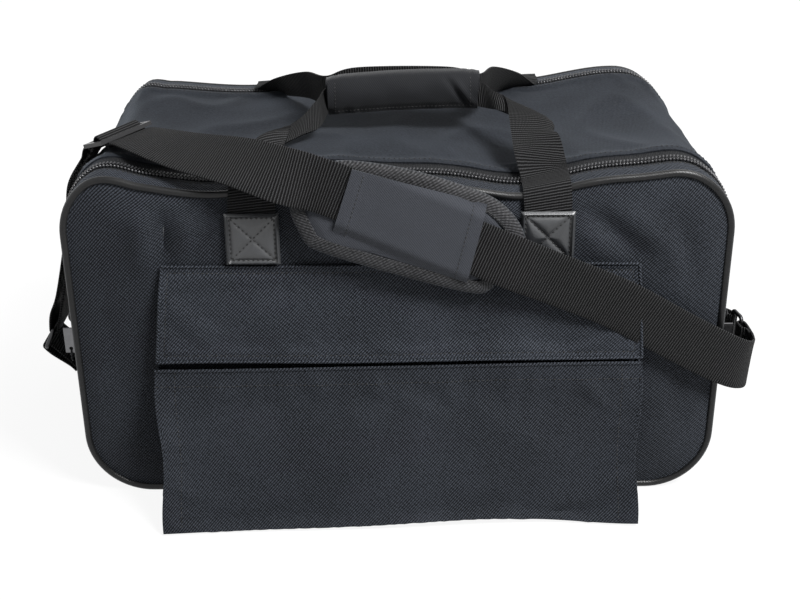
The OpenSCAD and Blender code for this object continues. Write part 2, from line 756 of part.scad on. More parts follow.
band_skin();
base_skin();
band_foam();
band_lining();
base_board();
front_lower_skin();
front_lower_foam();
front_lower_lining();
front_lower_rim();
front_lower_piping();
back_lower_skin();
back_lower_foam();
back_lower_lining();
back_lower_rim();
back_lower_piping();
pouch();
pouch_hem();
front_zip_band();
back_zip_band();
front_door_skin();
front_door_foam();
front_door_lining();
front_door_rim();
front_door_piping();
front_zip_door();
front_patches();
front_handle();
back_door_skin();
back_door_foam();
back_door_lining();
back_door_rim();
back_door_piping();
back_zip_door();
back_patches();
back_handle();
pocket_flap();
grip_wrap();
grip_flap();
front_left_slider();
front_right_slider();
back_left_slider();
back_right_slider();
front_left_pull();
front_right_pull();
back_left_pull();
back_right_pull();
strap_front();
shoulder_pad();
pad_binding();
pad_sleeve();
strap_tail_left();
strap_tail_right();
tri_glide();
left_anchor();
right_anchor();
left_ring();
right_ring();
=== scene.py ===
"""Looks of a padded gig bag, dressed over its packed construction model."""

import json
import math

import bpy
import numpy as np
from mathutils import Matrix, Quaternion, Vector, noise


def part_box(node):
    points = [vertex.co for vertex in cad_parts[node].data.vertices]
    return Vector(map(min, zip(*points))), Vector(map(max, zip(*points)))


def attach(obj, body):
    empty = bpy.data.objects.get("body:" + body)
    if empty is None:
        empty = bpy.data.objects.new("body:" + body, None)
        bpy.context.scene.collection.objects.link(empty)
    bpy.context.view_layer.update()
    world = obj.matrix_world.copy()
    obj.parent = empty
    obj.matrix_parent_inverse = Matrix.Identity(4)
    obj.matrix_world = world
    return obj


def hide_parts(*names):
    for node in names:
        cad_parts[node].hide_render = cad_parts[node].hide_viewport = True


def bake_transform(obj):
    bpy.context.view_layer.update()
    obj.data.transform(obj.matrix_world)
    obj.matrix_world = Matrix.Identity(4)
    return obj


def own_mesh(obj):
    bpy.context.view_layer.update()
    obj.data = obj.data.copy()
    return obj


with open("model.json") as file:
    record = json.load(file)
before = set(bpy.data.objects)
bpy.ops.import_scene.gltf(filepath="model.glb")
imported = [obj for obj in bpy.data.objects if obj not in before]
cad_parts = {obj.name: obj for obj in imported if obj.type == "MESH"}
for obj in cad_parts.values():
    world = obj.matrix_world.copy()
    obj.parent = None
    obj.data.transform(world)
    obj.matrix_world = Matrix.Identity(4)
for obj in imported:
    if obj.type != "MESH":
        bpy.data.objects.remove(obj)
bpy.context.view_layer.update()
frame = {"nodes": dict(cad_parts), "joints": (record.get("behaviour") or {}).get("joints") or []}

bl_info = {
    "name": "Padded gig bag",
    "version": (1, 0, 0),
    "blender": (4, 5, 0),
    "location": "View3D > Sidebar > Gig bag",
    "description": "Dresses the bag's construction model in fabric, webbing, zips and hardware",
    "category": "Object",
}

MM = 1000.0


def low(node):
    """Lowest corner of a construction piece, in millimetres."""
    return np.array(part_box(node)[0]) * MM


def high(node):
    """Highest corner of a construction piece, in millimetres."""
    return np.array(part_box(node)[1]) * MM


def joint(name):
    """One joint of the construction model."""
    return next(j for j in frame["joints"] if j["name"] == name)


# Sizes of the construction model, in millimetres
END_X = high("band_skin")[0]
BAG_H = high("band_skin")[2]
HALF_D = -low("front_lower_piping")[1]
PIPE_R = (high("front_lower_piping")[1] - low("front_lower_piping")[1]) / 2
BASE_SEAM = high("base_skin")[2]
CORNER_R = BASE_SEAM - 4
BAND_Y = high("band_skin")[1]
RIM_FRONT = -low("front_door_rim")[1]
RIM_Y = -high("front_door_rim")[1]
ZIP_Y = -joint("front_left_pull_swing")["pos_m"][1] * MM
ZIP_END = low("front_zip_door")[2]
FOLD_Z = joint("front_door_fold")["pos_m"][2] * MM
PANEL_IN = END_X - high("front_lower_skin")[0]
LINING_Y = -high("front_door_lining")[1]
LINING_IN = END_X - high("band_lining")[0]
FOAM_Y = high("band_foam")[1]
POCKET = high("pocket_flap")[0]
FLAP_TOP = joint("pocket_flap_lift")["pos_m"][2] * MM
FLAP_Y = -joint("pocket_flap_lift")["pos_m"][1] * MM
MOUTH_Z = (low("pouch_hem")[2] + high("pouch_hem")[2]) / 2
MOUTH_Y = -(low("pouch_hem")[1] + high("pouch_hem")[1]) / 2
TOE_Y = -low("pouch")[1]
PATCH_LOW = low("front_patches")
PATCH_HIGH = high("front_patches")
PATCH_W = PATCH_HIGH[2] - PATCH_LOW[2]
PATCH_X = PATCH_HIGH[0] - PATCH_W / 2
GRIP_LOW = low("grip_wrap")
GRIP_HIGH = high("grip_wrap")
GRIP_MID = (GRIP_LOW + GRIP_HIGH) / 2
GRIP_SIZE = GRIP_HIGH - GRIP_LOW
PAD_T = 12.0
STRAP_W = 45.0
WEB_W = 38.0
WEB_T = 2.0
WIRE_R = 1.8

# Thickness of each cloth, in millimetres
BAND_T = 1.3
BASE_T = 0.9
RIM_T = 1.2
TAPE_T = 0.8
PANEL_T = 1.3
PANEL_LINING_T = 7.0
BAND_LINING_T = 4.5
POUCH_T = 1.6
GUSSET_T = 1.4
POUCH_FLOOR_T = 0.8
FLAP_T = 2.4
PATCH_T = 1.6
GRIP_FLAP_T = 1.8
SLEEVE_T = 1.2

# How far the band's edge stands back from the solid's, and how far the rims go under it, in millimetres
BAND_BACK = 6.0
RIM_UNDER = 8.2

# Zip halves: reach and depth of the tape, and the middle of the teeth, in millimetres
TAPE_REACH = {"band": 17.0, "door": 9.0}
TAPE_DEEP = {"band": 1.4, "door": 1.7}
TEETH_OFF = 2.9

# Strip of tape behind the teeth: its edges across the zip, and its depth, in millimetres
GUARD_EDGES = (-5.5, 17.5)
GUARD_DEEP = 6.0

# Inset of the box of stitches on a patch, and the flap's length along its cloth, in millimetres
BOX_IN = 4.2
FLAP_LONG = 86

# Distance of a point that shows which way a cloth's front faces, in millimetres
FAR = 3000

# Stage: the camera, each lamp with its place, size and power, the world and the floor, in metres
LENS = 56.25
SENSOR = 36.0
CAMERA_TARGET = (0.0019, 0.0, 0.1172)
CAMERA_RISE = math.radians(24.7)
CAMERA_AWAY = 1.205
CAMERA_ROLL = math.radians(-0.4)
LAMPS = [
    ("key", (0.85, -0.9, 1.6), 0.6, 62.0),
    ("fill", (-1.5, -1.0, 0.9), 1.4, 3.0),
    ("rear", (0.9, 0.9, 1.5), 1.2, 6.0),
]
LAMP_TARGET = (0, 0, 0.12)
SKY_TINT = (0.95, 0.97, 1.0, 1.0)
SKY_LIGHT = 0.12
FLOOR_Z = -0.0006
FLOOR_REACH = 6.0
FLOOR_GREY = 0.5
FLOOR_GLOW = 1.15

# Share of the floor's glow near the bag, what is added far away, and where it is full, in millimetres
FLOOR_NEAR = 0.78
FLOOR_FAR = 0.09
FLOOR_FADE = 700.0


# Shader nodes written as expressions


class Value:
    """A node's socket, with arithmetic that adds Math nodes."""

    def __init__(self, wiring, socket):
        self.wiring = wiring
        self.socket = socket

    def _math(self, operation, first, second):
        return self.wiring.node("ShaderNodeMath", {"operation": operation}, {0: first, 1: second})

    def __add__(self, other):
        return self._math("ADD", self, other)

    def __radd__(self, other):
        return self._math("ADD", other, self)

    def __sub__(self, other):
        return self._math("SUBTRACT", self, other)

    def __rsub__(self, other):
        return self._math("SUBTRACT", other, self)

    def __mul__(self, other):
        return self._math("MULTIPLY", self, other)

    def __rmul__(self, other):
        return self._math("MULTIPLY", other, self)

    def __truediv__(self, other):
        return self._math("DIVIDE", self, other)

    def __rtruediv__(self, other):
        return self._math("DIVIDE", other, self)

    def __pow__(self, other):
        return self._math("POWER", self, other)

    def __rpow__(self, other):
        return self._math("POWER", other, self)


class Wiring:
    """A tree of shader nodes, filled in by expressions."""

    def __init__(self, tree):
        self.tree = tree

    def node(self, kind, settings=None, sockets=None, output=0):
        """A new node: its settings first, then the values or links of its sockets."""
        made = self.tree.nodes.new(kind)
        for key, value in (settings or {}).items():
            setattr(made, key, value)
        for key, value in (sockets or {}).items():
            self.feed(made.inputs[key], value)
        return Value(self, made.outputs[output])

    def feed(self, socket, value):
        """Links a value to a socket, or sets a plain number or colour on it."""
        if isinstance(value, Value):
            self.tree.links.new(value.socket, socket)
        else:
            socket.default_value = value

    def pictured(self):
        """One for the rays that show the background itself: from the camera, off a gloss or through glass."""
        path = self.node("ShaderNodeLightPath")
        seen = path
        for ray in ("Is Glossy Ray", "Is Transmission Ray"):
            other = Value(self, path.socket.node.outputs[ray])
            seen = self.node("ShaderNodeMath", {"operation": "MAXIMUM"}, {0: seen, 1: other})
        return seen


class Finish(Wiring):
    """A material with a Principled shader."""

    def __init__(self, name):
        self.name = name
        self.material = bpy.data.materials.new(name)
        self.material.use_nodes = True
        super().__init__(self.material.node_tree)
        self.shader = self.tree.nodes["Principled BSDF"]

    def set(self, **sockets):
        """Values or links of the Principled shader."""
        for key, value in sockets.items():
            self.feed(self.shader.inputs[key.replace("_", " ")], value)

    def flat(self):
        """The two flat coordinates of the cloth, in millimetres."""
        spot = self.node("ShaderNodeUVMap", {"uv_map": "flat"})
        split = self.node("ShaderNodeSeparateXYZ", sockets={0: spot})
        return split, Value(self, split.socket.node.outputs[1])

    def place(self):
        """Three coordinates in the bag's own frame, in millimetres."""
        spot = self.node("ShaderNodeTexCoord", output=3)
        scaled = self.node("ShaderNodeVectorMath", {"operation": "SCALE"}, {0: spot, "Scale": MM})
        split = self.node("ShaderNodeSeparateXYZ", sockets={0: scaled})
        return [Value(self, split.socket.node.outputs[i]) for i in range(3)]

    def wave(self, value):
        """A sine of a value that counts turns, from 0 to 1."""
        turned = self.node("ShaderNodeMath", {"operation": "SINE"}, {0: value * (2 * math.pi)})
        return turned * 0.5 + 0.5

    def noise(self, scale, detail=2.0):
        """Noise over the bag, from 0 to 1, with its scale in cycles a millimetre."""
        spot = self.node("ShaderNodeTexCoord", output=3)
        sockets = {"Vector": spot, "Scale": scale * MM, "Detail": detail}
        return self.node("ShaderNodeTexNoise", sockets=sockets)

    def mix(self, share, first, second):
        """A colour between two colours."""
        return self.node("ShaderNodeMix", {"data_type": "RGBA"}, {0: share, 6: first, 7: second}, output=2)

    def bump(self, height, depth):
        """A normal from a height that runs from 0 to 1, with its depth in millimetres."""
        sockets = {"Height": height, "Distance": depth / MM, "Strength": 1.0}
        return self.node("ShaderNodeBump", sockets=sockets)


def shade(colour, factor):
    """A colour made lighter or darker, with full alpha."""
    return (colour[0] * factor, colour[1] * factor, colour[2] * factor, 1.0)


def tint(colour, factor):
    """A user's colour made lighter or darker."""
    return tuple(factor * c for c in colour)


FINISHES = {}


def keep(finish):
    """Stores a finish under its name."""
    FINISHES[finish.name] = finish.material


def woven_finish(name, colour, pitch, lean, depth, contrast, roughness, sheen, gloss=0.14):
    """Coated woven cloth with slanting ribs."""
    made = Finish(name)
    across, along = made.flat()
    turn = math.radians(lean)
    rib = made.wave((across * math.cos(turn) + along * math.sin(turn)) / pitch)
    yarn = made.wave((along * math.cos(turn) - across * math.sin(turn)) / (1.6 * pitch))
    weave = rib * (0.5 + 0.5 * yarn)
    cloud = made.noise(0.018, 3.0)
    fleck = made.noise(0.6, 2.0)
    tone = weave * contrast + cloud * 0.5 + fleck * 0.9 - 0.35 - 0.3 * contrast
    base = made.mix(tone, shade(colour, 0.1), shade(colour, 3.0))
    made.set(Base_Color=base, Roughness=roughness - 0.12 * weave + 0.1 * cloud)
    made.set(Normal=made.bump(weave + fleck * 0.4, depth))
    made.shader.inputs["Sheen Weight"].default_value = sheen
    made.shader.inputs["Sheen Roughness"].default_value = 0.45
    made.shader.inputs["Sheen Tint"].default_value = (0.78, 0.87, 1.0, 1.0)
    made.shader.inputs["Specular IOR Level"].default_value = gloss
    keep(made)


def webbing_finish(name, colour):
    """Ribbed webbing: ribs across its length, set off in columns like bricks."""
    made = Finish(name)
    across, along = made.flat()
    column = made.wave(across / 5.2)
    step = made.node("ShaderNodeMath", {"operation": "GREATER_THAN"}, {0: column, 1: 0.5})
    rib = made.wave(along / 2.25 + 0.04 * step)
    seam = made.wave(across / 1.3 + 0.25)
    height = rib * 0.85 + 0.15 * seam
    fleck = made.noise(0.9, 2.0)
    cloud = made.noise(0.012, 2.0)
    tone = (height ** 3.0) * 1.35 + fleck * 0.2 + cloud * 0.15 - 0.17
    base = made.mix(tone, shade(colour, 0.3), shade(colour, 3.0))
    made.set(Base_Color=base, Roughness=0.72 - 0.16 * height)
    made.set(Normal=made.bump(height + fleck * 0.15, 0.85))
    made.shader.inputs["Specular IOR Level"].default_value = 0.06
    keep(made)


def padded_finish(name, colour):
    """Fine woven cloth for the pad and the grip, read from the bag's own frame."""
    made = Finish(name)
    x, y, z = made.place()
    rib = made.wave((x * 0.8 + z * 0.6) / 1.5)
    yarn = made.wave((z * 0.8 - x * 0.6 + y) / 1.3)
    weave = rib * 0.6 + yarn * 0.4
    fleck = made.noise(0.8, 2.0)
    cloud = made.noise(0.02, 3.0)
    base = made.mix(weave * 0.4 + fleck * 0.3 + cloud * 0.3, shade(colour, 0.6), shade(colour, 1.4))
    made.set(Base_Color=base, Roughness=0.78 - 0.1 * weave)
    made.set(Normal=made.bump(weave + fleck * 0.4, 0.18))
    made.shader.inputs["Sheen Weight"].default_value = 0.15
    made.shader.inputs["Specular IOR Level"].default_value = 0.15
    keep(made)


def leatherette_finish(name, colour):
    """Grained, slightly glossy leatherette."""
    made = Finish(name)
    spot = made.node("ShaderNodeTexCoord", output=3)
    sockets = {"Vector": spot, "Scale": 0.7 * MM}
    cells = made.node("ShaderNodeTexVoronoi", {"feature": "DISTANCE_TO_EDGE"}, sockets)
    grain = made.node("ShaderNodeMath", {"operation": "MINIMUM"}, {0: cells * 3.0, 1: 1.0})
    cloud = made.noise(0.05, 3.0)
    worn = made.noise(0.25, 4.0)
    base = made.mix(cloud * 0.6 + worn * 0.3, shade(colour, 0.6), shade(colour, 1.6))
    made.set(Base_Color=base, Roughness=0.34 + 0.14 * worn - 0.05 * grain)
    made.set(Normal=made.bump(grain * 0.5 + worn * 0.5, 0.09))
    made.shader.inputs["Specular IOR Level"].default_value = 0.75
    keep(made)


def moulded_finish(name, colour, roughness, metallic, grain):
    """Lacquered metal or moulded plastic with fine scuffs."""
    made = Finish(name)
    scuff = made.noise(0.4, 5.0)
    fine = made.noise(2.5, 2.0)
    base = made.mix(scuff * 0.7 + fine * 0.3, shade(colour, 0.7), shade(colour, 1.35))
    made.set(Base_Color=base, Roughness=roughness + 0.16 * scuff - 0.05)
    made.set(Normal=made.bump(fine, grain))
    made.shader.inputs["Metallic"].default_value = metallic
    keep(made)


def thread_finish(name, colour):
    """Twisted sewing thread."""
    made = Finish(name)
    x, y, z = made.place()
    twist = made.wave((x + y + z) / 0.9)
    base = made.mix(twist, shade(colour, 0.6), shade(colour, 1.4))
    made.set(Base_Color=base, Roughness=0.5 + 0.2 * twist)
    made.set(Normal=made.bump(twist, 0.08))
    keep(made)


# Sampling and meshes, in millimetres


def smooth(start, end, value):
    """Rises smoothly from 0 at start to 1 at end."""
    share = np.clip((value - start) / (end - start), 0.0, 1.0)
    return share * share * (3 - 2 * share)


def unit(vectors):
    """Vectors of length one."""
    vectors = np.asarray(vectors, float)
    return vectors / np.maximum(np.linalg.norm(vectors, axis=-1, keepdims=True), 1e-9)


def curve(points, steps, closed=False):
    """A smooth curve through points, with so many steps from one to the next."""
    points = np.asarray(points, float)
    count = len(points)
    found = []
    for i in range(count if closed else count - 1):
        spots = [i - 1, i, i + 1, i + 2]
        spots = [k % count if closed else min(max(k, 0), count - 1) for k in spots]
        a, b, c, d = points[spots]
        for t in np.arange(steps) / steps:
            bend = (2 * a - 5 * b + 4 * c - d) * t ** 2 + (3 * b - a - 3 * c + d) * t ** 3
            found.append(0.5 * (2 * b + (c - a) * t + bend))
    if not closed:
        found.append(points[-1])
    return np.array(found)


def lengths(points):
    """Running length along points."""
    steps = np.linalg.norm(np.diff(points, axis=0), axis=1)
    return np.concatenate([[0.0], np.cumsum(steps)])


def at_lengths(points, running, places):
    """Points at places along a running length."""
    return np.stack([np.interp(places, running, points[:, k]) for k in range(3)], axis=1)


def in_space(spots, y):
    """Points or ways of the front view, at one place across the bag."""
    return np.stack([spots[:, 0], np.full(len(spots), float(y)), spots[:, 1]], axis=1)


def cloud(points, scale, seed):
    """Smooth noise at points, about -1 to 1, with its scale in millimetres."""
    shift = Vector((seed * 17.3, seed * 5.7, seed * 11.9))
    return np.array([noise.noise(Vector(p) / scale + shift) for p in points])


def folds(points, scale, seed):
    """Sharp-backed noise for soft folds, from 0 to 1."""
    return (1.0 - np.abs(cloud(points, scale, seed))) ** 3


class Sewn:
    """Collects the surfaces of one piece, each with its finish, and makes the object."""

    def __init__(self, name):
        self.name = name
        self.points = []
        self.faces = []
        self.flat = []
        self.marks = []
        self.finishes = []
        self.count = 0

    def add(self, points, faces, flat, finish):
        """Adds a surface: points, faces, flat coordinates for each point and a finish."""
        if finish not in self.finishes:
            self.finishes.append(finish)
        mark = self.finishes.index(finish)
        self.points.append(np.asarray(points, float))
        self.flat.append(np.asarray(flat, float))
        self.faces.extend([[k + self.count for k in face] for face in faces])
        self.marks.extend([mark] * len(faces))
        self.count += len(points)

    def make(self, sharp=50):
        """The finished object, in metres."""
        points = np.concatenate(self.points)
        flat = np.concatenate(self.flat)
        mesh = bpy.data.meshes.new(self.name)
        mesh.from_pydata((points / MM).tolist(), [], self.faces)
        for finish in self.finishes:
            mesh.materials.append(FINISHES[finish])
        mesh.polygons.foreach_set("material_index", self.marks)
        mesh.polygons.foreach_set("use_smooth", [True] * len(mesh.polygons))
        layer = mesh.uv_layers.new(name="flat")
        corners = np.zeros(len(mesh.loops), int)
        mesh.loops.foreach_get("vertex_index", corners)
        layer.data.foreach_set("uv", flat[corners].astype(np.float32).ravel())
        mesh.update()
        mesh.set_sharp_from_angle(angle=math.radians(sharp))
        made = bpy.data.objects.new(self.name, mesh)
        bpy.context.scene.collection.objects.link(made)
        return made


def grid_faces(rows, columns, wrap_rows=False, wrap_columns=False, start=0, flip=False):
    """Four-sided faces of a grid of points."""
    faces = []
    for i in range(rows if wrap_rows else rows - 1):
        for j in range(columns if wrap_columns else columns - 1):
            a = i * columns + j
            b = i * columns + (j + 1) % columns
            c = ((i + 1) % rows) * columns + (j + 1) % columns
            d = ((i + 1) % rows) * columns + j
            face = [a + start, b + start, c + start, d + start]
            faces.append(face[::-1] if flip else face)
    return faces


def grid_normals(grid):
    """Unit normals of a grid of points."""
    rows = np.gradient(grid, axis=0)
    columns = np.gradient(grid, axis=1)
    return unit(np.cross(columns, rows))


def cloth(sewn, grid, flat, thick, finish, outward):
    """A sheet of cloth with a front, a back and edges. Outward is a point that its front faces."""
    rows, columns = grid.shape[:2]
    normal = grid_normals(grid)
    middle = grid[rows // 2, columns // 2]
    flip = np.dot(normal[rows // 2, columns // 2], np.asarray(outward) - middle) < 0
    if flip:
        normal = -normal
    back = grid - normal * thick
    points = np.concatenate([grid.reshape(-1, 3), back.reshape(-1, 3)])
    size = rows * columns
    faces = grid_faces(rows, columns, flip=not flip)
    faces += grid_faces(rows, columns, start=size, flip=bool(flip))
    rim = [j for j in range(columns)]
    rim += [i * columns + columns - 1 for i in range(1, rows)]
    rim += [(rows - 1) * columns + j for j in range(columns - 2, -1, -1)]
    rim += [i * columns for i in range(rows - 2, 0, -1)]
    for k, a in enumerate(rim):
        b = rim[(k + 1) % len(rim)]
        face = [a, b, b + size, a + size]
        faces.append(face if not flip else face[::-1])
    spots = flat.reshape(-1, 2)
    sewn.add(points, faces, np.concatenate([spots, spots]), finish)
    return normal


def sweep(sewn, centres, sides, normals, profile, finish, closed=False):
    """A profile of [across, out] points carried along centres. Open ends are capped."""
    profile = np.asarray(profile, float)
    count, width = len(centres), len(profile)
    across, out = profile[None, :, :1], profile[None, :, 1:]
    points = centres[:, None] + sides[:, None] * across + normals[:, None] * out
    running = lengths(np.vstack([centres, centres[:1]]) if closed else centres)[:count]
    around = np.tile(profile[:, 0], (count, 1))
    flat = np.stack([around, np.tile(running[:, None], (1, width))], axis=-1)
    faces = grid_faces(count, width, wrap_rows=closed, wrap_columns=True)
    if not closed:
        faces.append(list(range(width)))
        faces.append([(count - 1) * width + k for k in range(width - 1, -1, -1)])
    sewn.add(points.reshape(-1, 3), faces, flat.reshape(-1, 2), finish)


def round_profile(radius, sides=10):
    """A round profile, clockwise for the sweep's faces to look outward."""
    turns = -np.arange(sides) * 2 * math.pi / sides
    return np.stack([radius * np.cos(turns), radius * np.sin(turns)], axis=1)


def flat_profile(width, thick):
    """Webbing's profile: flat on both faces, with rounded edges."""
    half, deep = width / 2, thick / 2
    top = [(-half, 0.3 * deep), (-half + 0.3, 0.8 * deep)]
    top += [(a, deep) for a in np.linspace(-half + 0.9, half - 0.9, 8)]
    top += [(half - 0.3, 0.8 * deep), (half, 0.3 * deep)]
    return top + [(a, -d) for a, d in top[::-1]]


def tube(sewn, path, radius, finish, closed=False, sides=10):
    """A round cord of fabric or wire along a path."""
    path = np.asarray(path, float)
    run = np.roll(path, -1, 0) - np.roll(path, 1, 0) if closed else np.gradient(path, axis=0)
    run = unit(run)
    guide = np.array([0.0, 1.0, 0.0]) if np.abs(run[:, 1]).max() < 0.9 else np.array([0.31, 0.2, 0.93])
    side = unit(np.cross(run, guide))
    normal = unit(np.cross(side, run))
    sweep(sewn, path, side, normal, round_profile(radius, sides), finish, closed)


def add_many(sewn, rings, sides, finish, flip=False):
    """Adds many small closed forms at once. Each ring holds one point of every form."""
    points = np.stack(rings, axis=1)
    count, size = points.shape[:2]
    one = grid_faces(size // sides, sides, wrap_columns=True, flip=flip)
    faces = [[k + i * size for k in face] for i in range(count) for face in one]
    sewn.add(points.reshape(-1, 3), faces, np.zeros((count * size, 2)), finish)


STITCH_RINGS = [(-0.3, 0.0), (0.08, 0.85), (0.22, 1.0), (0.08, 0.85), (-0.3, 0.0)]


def stitches(sewn, path, normal, pitch=3.8, long=2.7, radius=0.36, finish="thread"):
    """A row of stitches along a path, each a short arched length of thread."""
    path = np.asarray(path, float)
    normal = np.broadcast_to(np.asarray(normal, float), path.shape)
    running = lengths(path)
    count = max(2, int(running[-1] / pitch))
    middles = (np.arange(count) + 0.5) * running[-1] / count
    at = at_lengths(path, running, middles)
    out = unit(at_lengths(normal, running, middles))
    run = unit(at_lengths(path, running, middles + 0.6) - at_lengths(path, running, middles - 0.6))
    side = unit(np.cross(run, out))
    sides = 6
    turns = np.arange(sides) * 2 * math.pi / sides
    places = np.linspace(-0.5, 0.5, len(STITCH_RINGS)) * long
    rings = []
    for place, (lift, share) in zip(places, STITCH_RINGS):
        for turn in turns:
            around = side * math.cos(turn) + out * math.sin(turn)
            rings.append(at + run * place + out * lift + around * radius * max(share, 0.05))
    add_many(sewn, rings, sides, finish, flip=True)


def settled(grid, pinned, slack, push, sag, frames=16, cap=9.0):
    """A grid of cloth let go: pinned where told, cut too large by its slack, pushed out and sagging."""
    rows, columns = grid.shape[:2]
    mesh = bpy.data.meshes.new("loose_cloth")
    mesh.from_pydata((grid.reshape(-1, 3) / MM).tolist(), [], grid_faces(rows, columns))
    mesh.update()
    loose = bpy.data.objects.new("loose_cloth", mesh)
    scene = bpy.context.scene
    scene.collection.objects.link(loose)
    pins = loose.vertex_groups.new(name="pins")
    for index in np.flatnonzero(pinned.ravel()):
        pins.add([int(index)], 1.0, "REPLACE")
    added = loose.modifiers.new("cloth", "CLOTH")
    rules = added.settings
    rules.vertex_group_mass = "pins"
    rules.quality = 6
    rules.mass = 0.25
    rules.tension_stiffness = 20
    rules.compression_stiffness = 20
    rules.shear_stiffness = 10
    rules.bending_stiffness = 2.0
    rules.air_damping = 4
    rules.shrink_min = -slack
    rules.use_pressure = True
    rules.uniform_pressure_force = push
    rules.effector_weights.gravity = sag
    added.collision_settings.use_collision = False
    added.point_cache.frame_start = 1
    added.point_cache.frame_end = frames
    for step in range(1, frames + 1):
        scene.frame_set(step)
    shown = loose.evaluated_get(bpy.context.evaluated_depsgraph_get())
    found = np.zeros(rows * columns * 3, np.float32)
    shown.data.vertices.foreach_get("co", found)
    scene.frame_set(1)
    bpy.data.objects.remove(loose)
    bpy.data.meshes.remove(mesh)
    moved = found.reshape(rows, columns, 3).astype(float) * MM - grid
    far = np.linalg.norm(moved, axis=2, keepdims=True)
    return grid + moved * np.minimum(1.0, cap / np.maximum(far, 1e-6))


# The soft shape that every sewn piece of the bag shares


def settings():
    """The sizes that a user can change."""
    return bpy.context.scene.gig_bag_sizes


def hill(x, middle, width):
    """A smooth hill of height one."""
    return np.exp(-(((x - middle) / width) ** 2))


def dip(x, y):
    """How far the top is pressed down, deepest under the handles, with its ends pulled up."""
    press = settings().leg_dip * MM
    pull = settings().corner_lift * MM
    front = press * (1.55 * hill(x, -150, 62) + 1.87 * hill(x, 100, 50) + 0.7 * hill(x, 5, 60))
    front = front - pull * (0.55 * smooth(185, 245, x) + 0.8 * smooth(-205, -250, x))
    back = press * (0.9 * hill(x, -150, 70) + 0.35 * hill(x, 118, 55))
    back = back - pull * (1.1 * smooth(120, 215, x) + 0.95 * smooth(-225, -252, x))
    return back + (front - back) * smooth(70, -70, y)


def shoulder(y):
    """How far the rounded front and back edges fall away from the top."""
    away = np.abs(y)
    fall = 4.0 * smooth(104, 122, away) + 1.5 * smooth(126, 146, away)
    return fall * (0.35 + 0.65 * smooth(20, -20, y))


def border(x, z):
    """Distance inward from the panel's seam."""
    half_x, half_z, radius = END_X - PANEL_IN, BAG_H / 2 - PANEL_IN, CORNER_R - PANEL_IN
    out_x = np.abs(x) - (half_x - radius)
    out_z = np.abs(z - BAG_H / 2) - (half_z - radius)
    corner = np.hypot(np.maximum(out_x, 0), np.maximum(out_z, 0))
    return radius - corner - np.minimum(np.maximum(out_x, out_z), 0)


# Soft creases of the panels: from, to, width and height
CREASES = [
    ((-188, 278), (-193, 222), 6, -7.0),
    ((-205, 282), (-211, 224), 9, 6.2),
    ((-168, 274), (-174, 226), 8, 4.8),
    ((-238, 268), (-200, 262), 10, 2.4),
    ((144, 282), (200, 224), 8, -4.6),
    ((166, 286), (226, 226), 10, 3.8),
    ((132, 262), (176, 226), 9, 2.6),
    ((232, 250), (256, 180), 9, -2.8),
    ((-254, 206), (-240, 110), 12, -3.0),
    ((236, 150), (250, 60), 12, -2.6),
    ((-60, 282), (60, 276), 8, 1.8),
]


def creased(x, z):
    """Height of the creases on a panel."""
    total = np.zeros_like(x)
    for start, end, wide, tall in CREASES:
        run = np.subtract(end, start)
        share = np.clip(((x - start[0]) * run[0] + (z - start[1]) * run[1]) / np.dot(run, run), 0, 1)
        away = np.hypot(x - start[0] - share * run[0], z - start[1] - share * run[1])
        fade = np.sin(math.pi * np.clip(0.15 + 0.7 * share, 0, 1))
        total += tall * fade * np.exp(-((away / wide) ** 2))
    return total


def relief(x, z):
    """How far the padded panel stands out from its flat place: drawn in at its seam, full in the middle."""
    puff = settings().panel_puff * MM
    return -0.45 * puff + puff * (1 - np.exp(-np.maximum(border(x, z), 0) / 15.0))


def soften(points, faces=True):
    """Moves points of the flat construction shape to the soft one."""
    shape = np.shape(points)
    found = np.array(points, float).reshape(-1, 3)
    x, y, z = found.T.copy()
    up = smooth(BAG_H - 62, BAG_H - 6, z)
    across = 0.7 + 0.3 * smooth(50, 105, np.abs(y))
    sag = settings().top_sag * MM * np.cos(math.pi * np.clip(y / 216, -0.5, 0.5)) ** 2
    found[:, 2] -= (dip(x, y) * across + sag + shoulder(y)) * up
    if faces:
        front = smooth(HALF_D - 8, HALF_D - 2.5, np.abs(y))
        found[:, 1] += np.sign(y) * relief(x, z) * front
    side = smooth(END_X - 40, END_X - 4, np.abs(x))
    over = np.clip(np.cos(math.pi * y / (2 * BAND_Y)), 0, 1) * np.sin(math.pi * np.clip(z / BAG_H, 0, 1))
    found[:, 0] += np.sign(x) * settings().end_bulge * MM * over * side
    found[:, 0] -= 5.0 * smooth(180, 262, x) * smooth(0, 120, y) * smooth(200, 290, z)
    return found.reshape(shape)


def outline(step=5.0, turn_steps=18, closed=False):
    """Points and outward normals round the bag seen from the front, from the middle of the base."""
    spots, normals = [], []
    wide, radius = END_X - CORNER_R, CORNER_R

    def straight(start, end, normal):
        count = max(2, round(math.dist(start, end) / step))
        for i in range(count):
            share = i / count
            spots.append([start[0] + (end[0] - start[0]) * share, start[1] + (end[1] - start[1]) * share])
            normals.append(normal)

    def corner(x, z, start):
        for i in range(turn_steps):
            turn = math.radians(start + 90 * i / turn_steps)
            spots.append([x + radius * math.cos(turn), z + radius * math.sin(turn)])
            normals.append([math.cos(turn), math.sin(turn)])

    straight((0, 0), (wide, 0), [0, -1])
    corner(wide, radius, -90)
    straight((END_X, radius), (END_X, BAG_H - radius), [1, 0])
    corner(wide, BAG_H - radius, 0)
    straight((wide, BAG_H), (-wide, BAG_H), [0, 1])
    corner(-wide, BAG_H - radius, 90)
    straight((-END_X, BAG_H - radius), (-END_X, radius), [-1, 0])
    corner(-wide, radius, 180)
    straight((-wide, 0), (0, 0), [0, -1])
    if closed:
        spots.append(spots[0])
        normals.append(normals[0])
    return np.array(spots), np.array(normals)


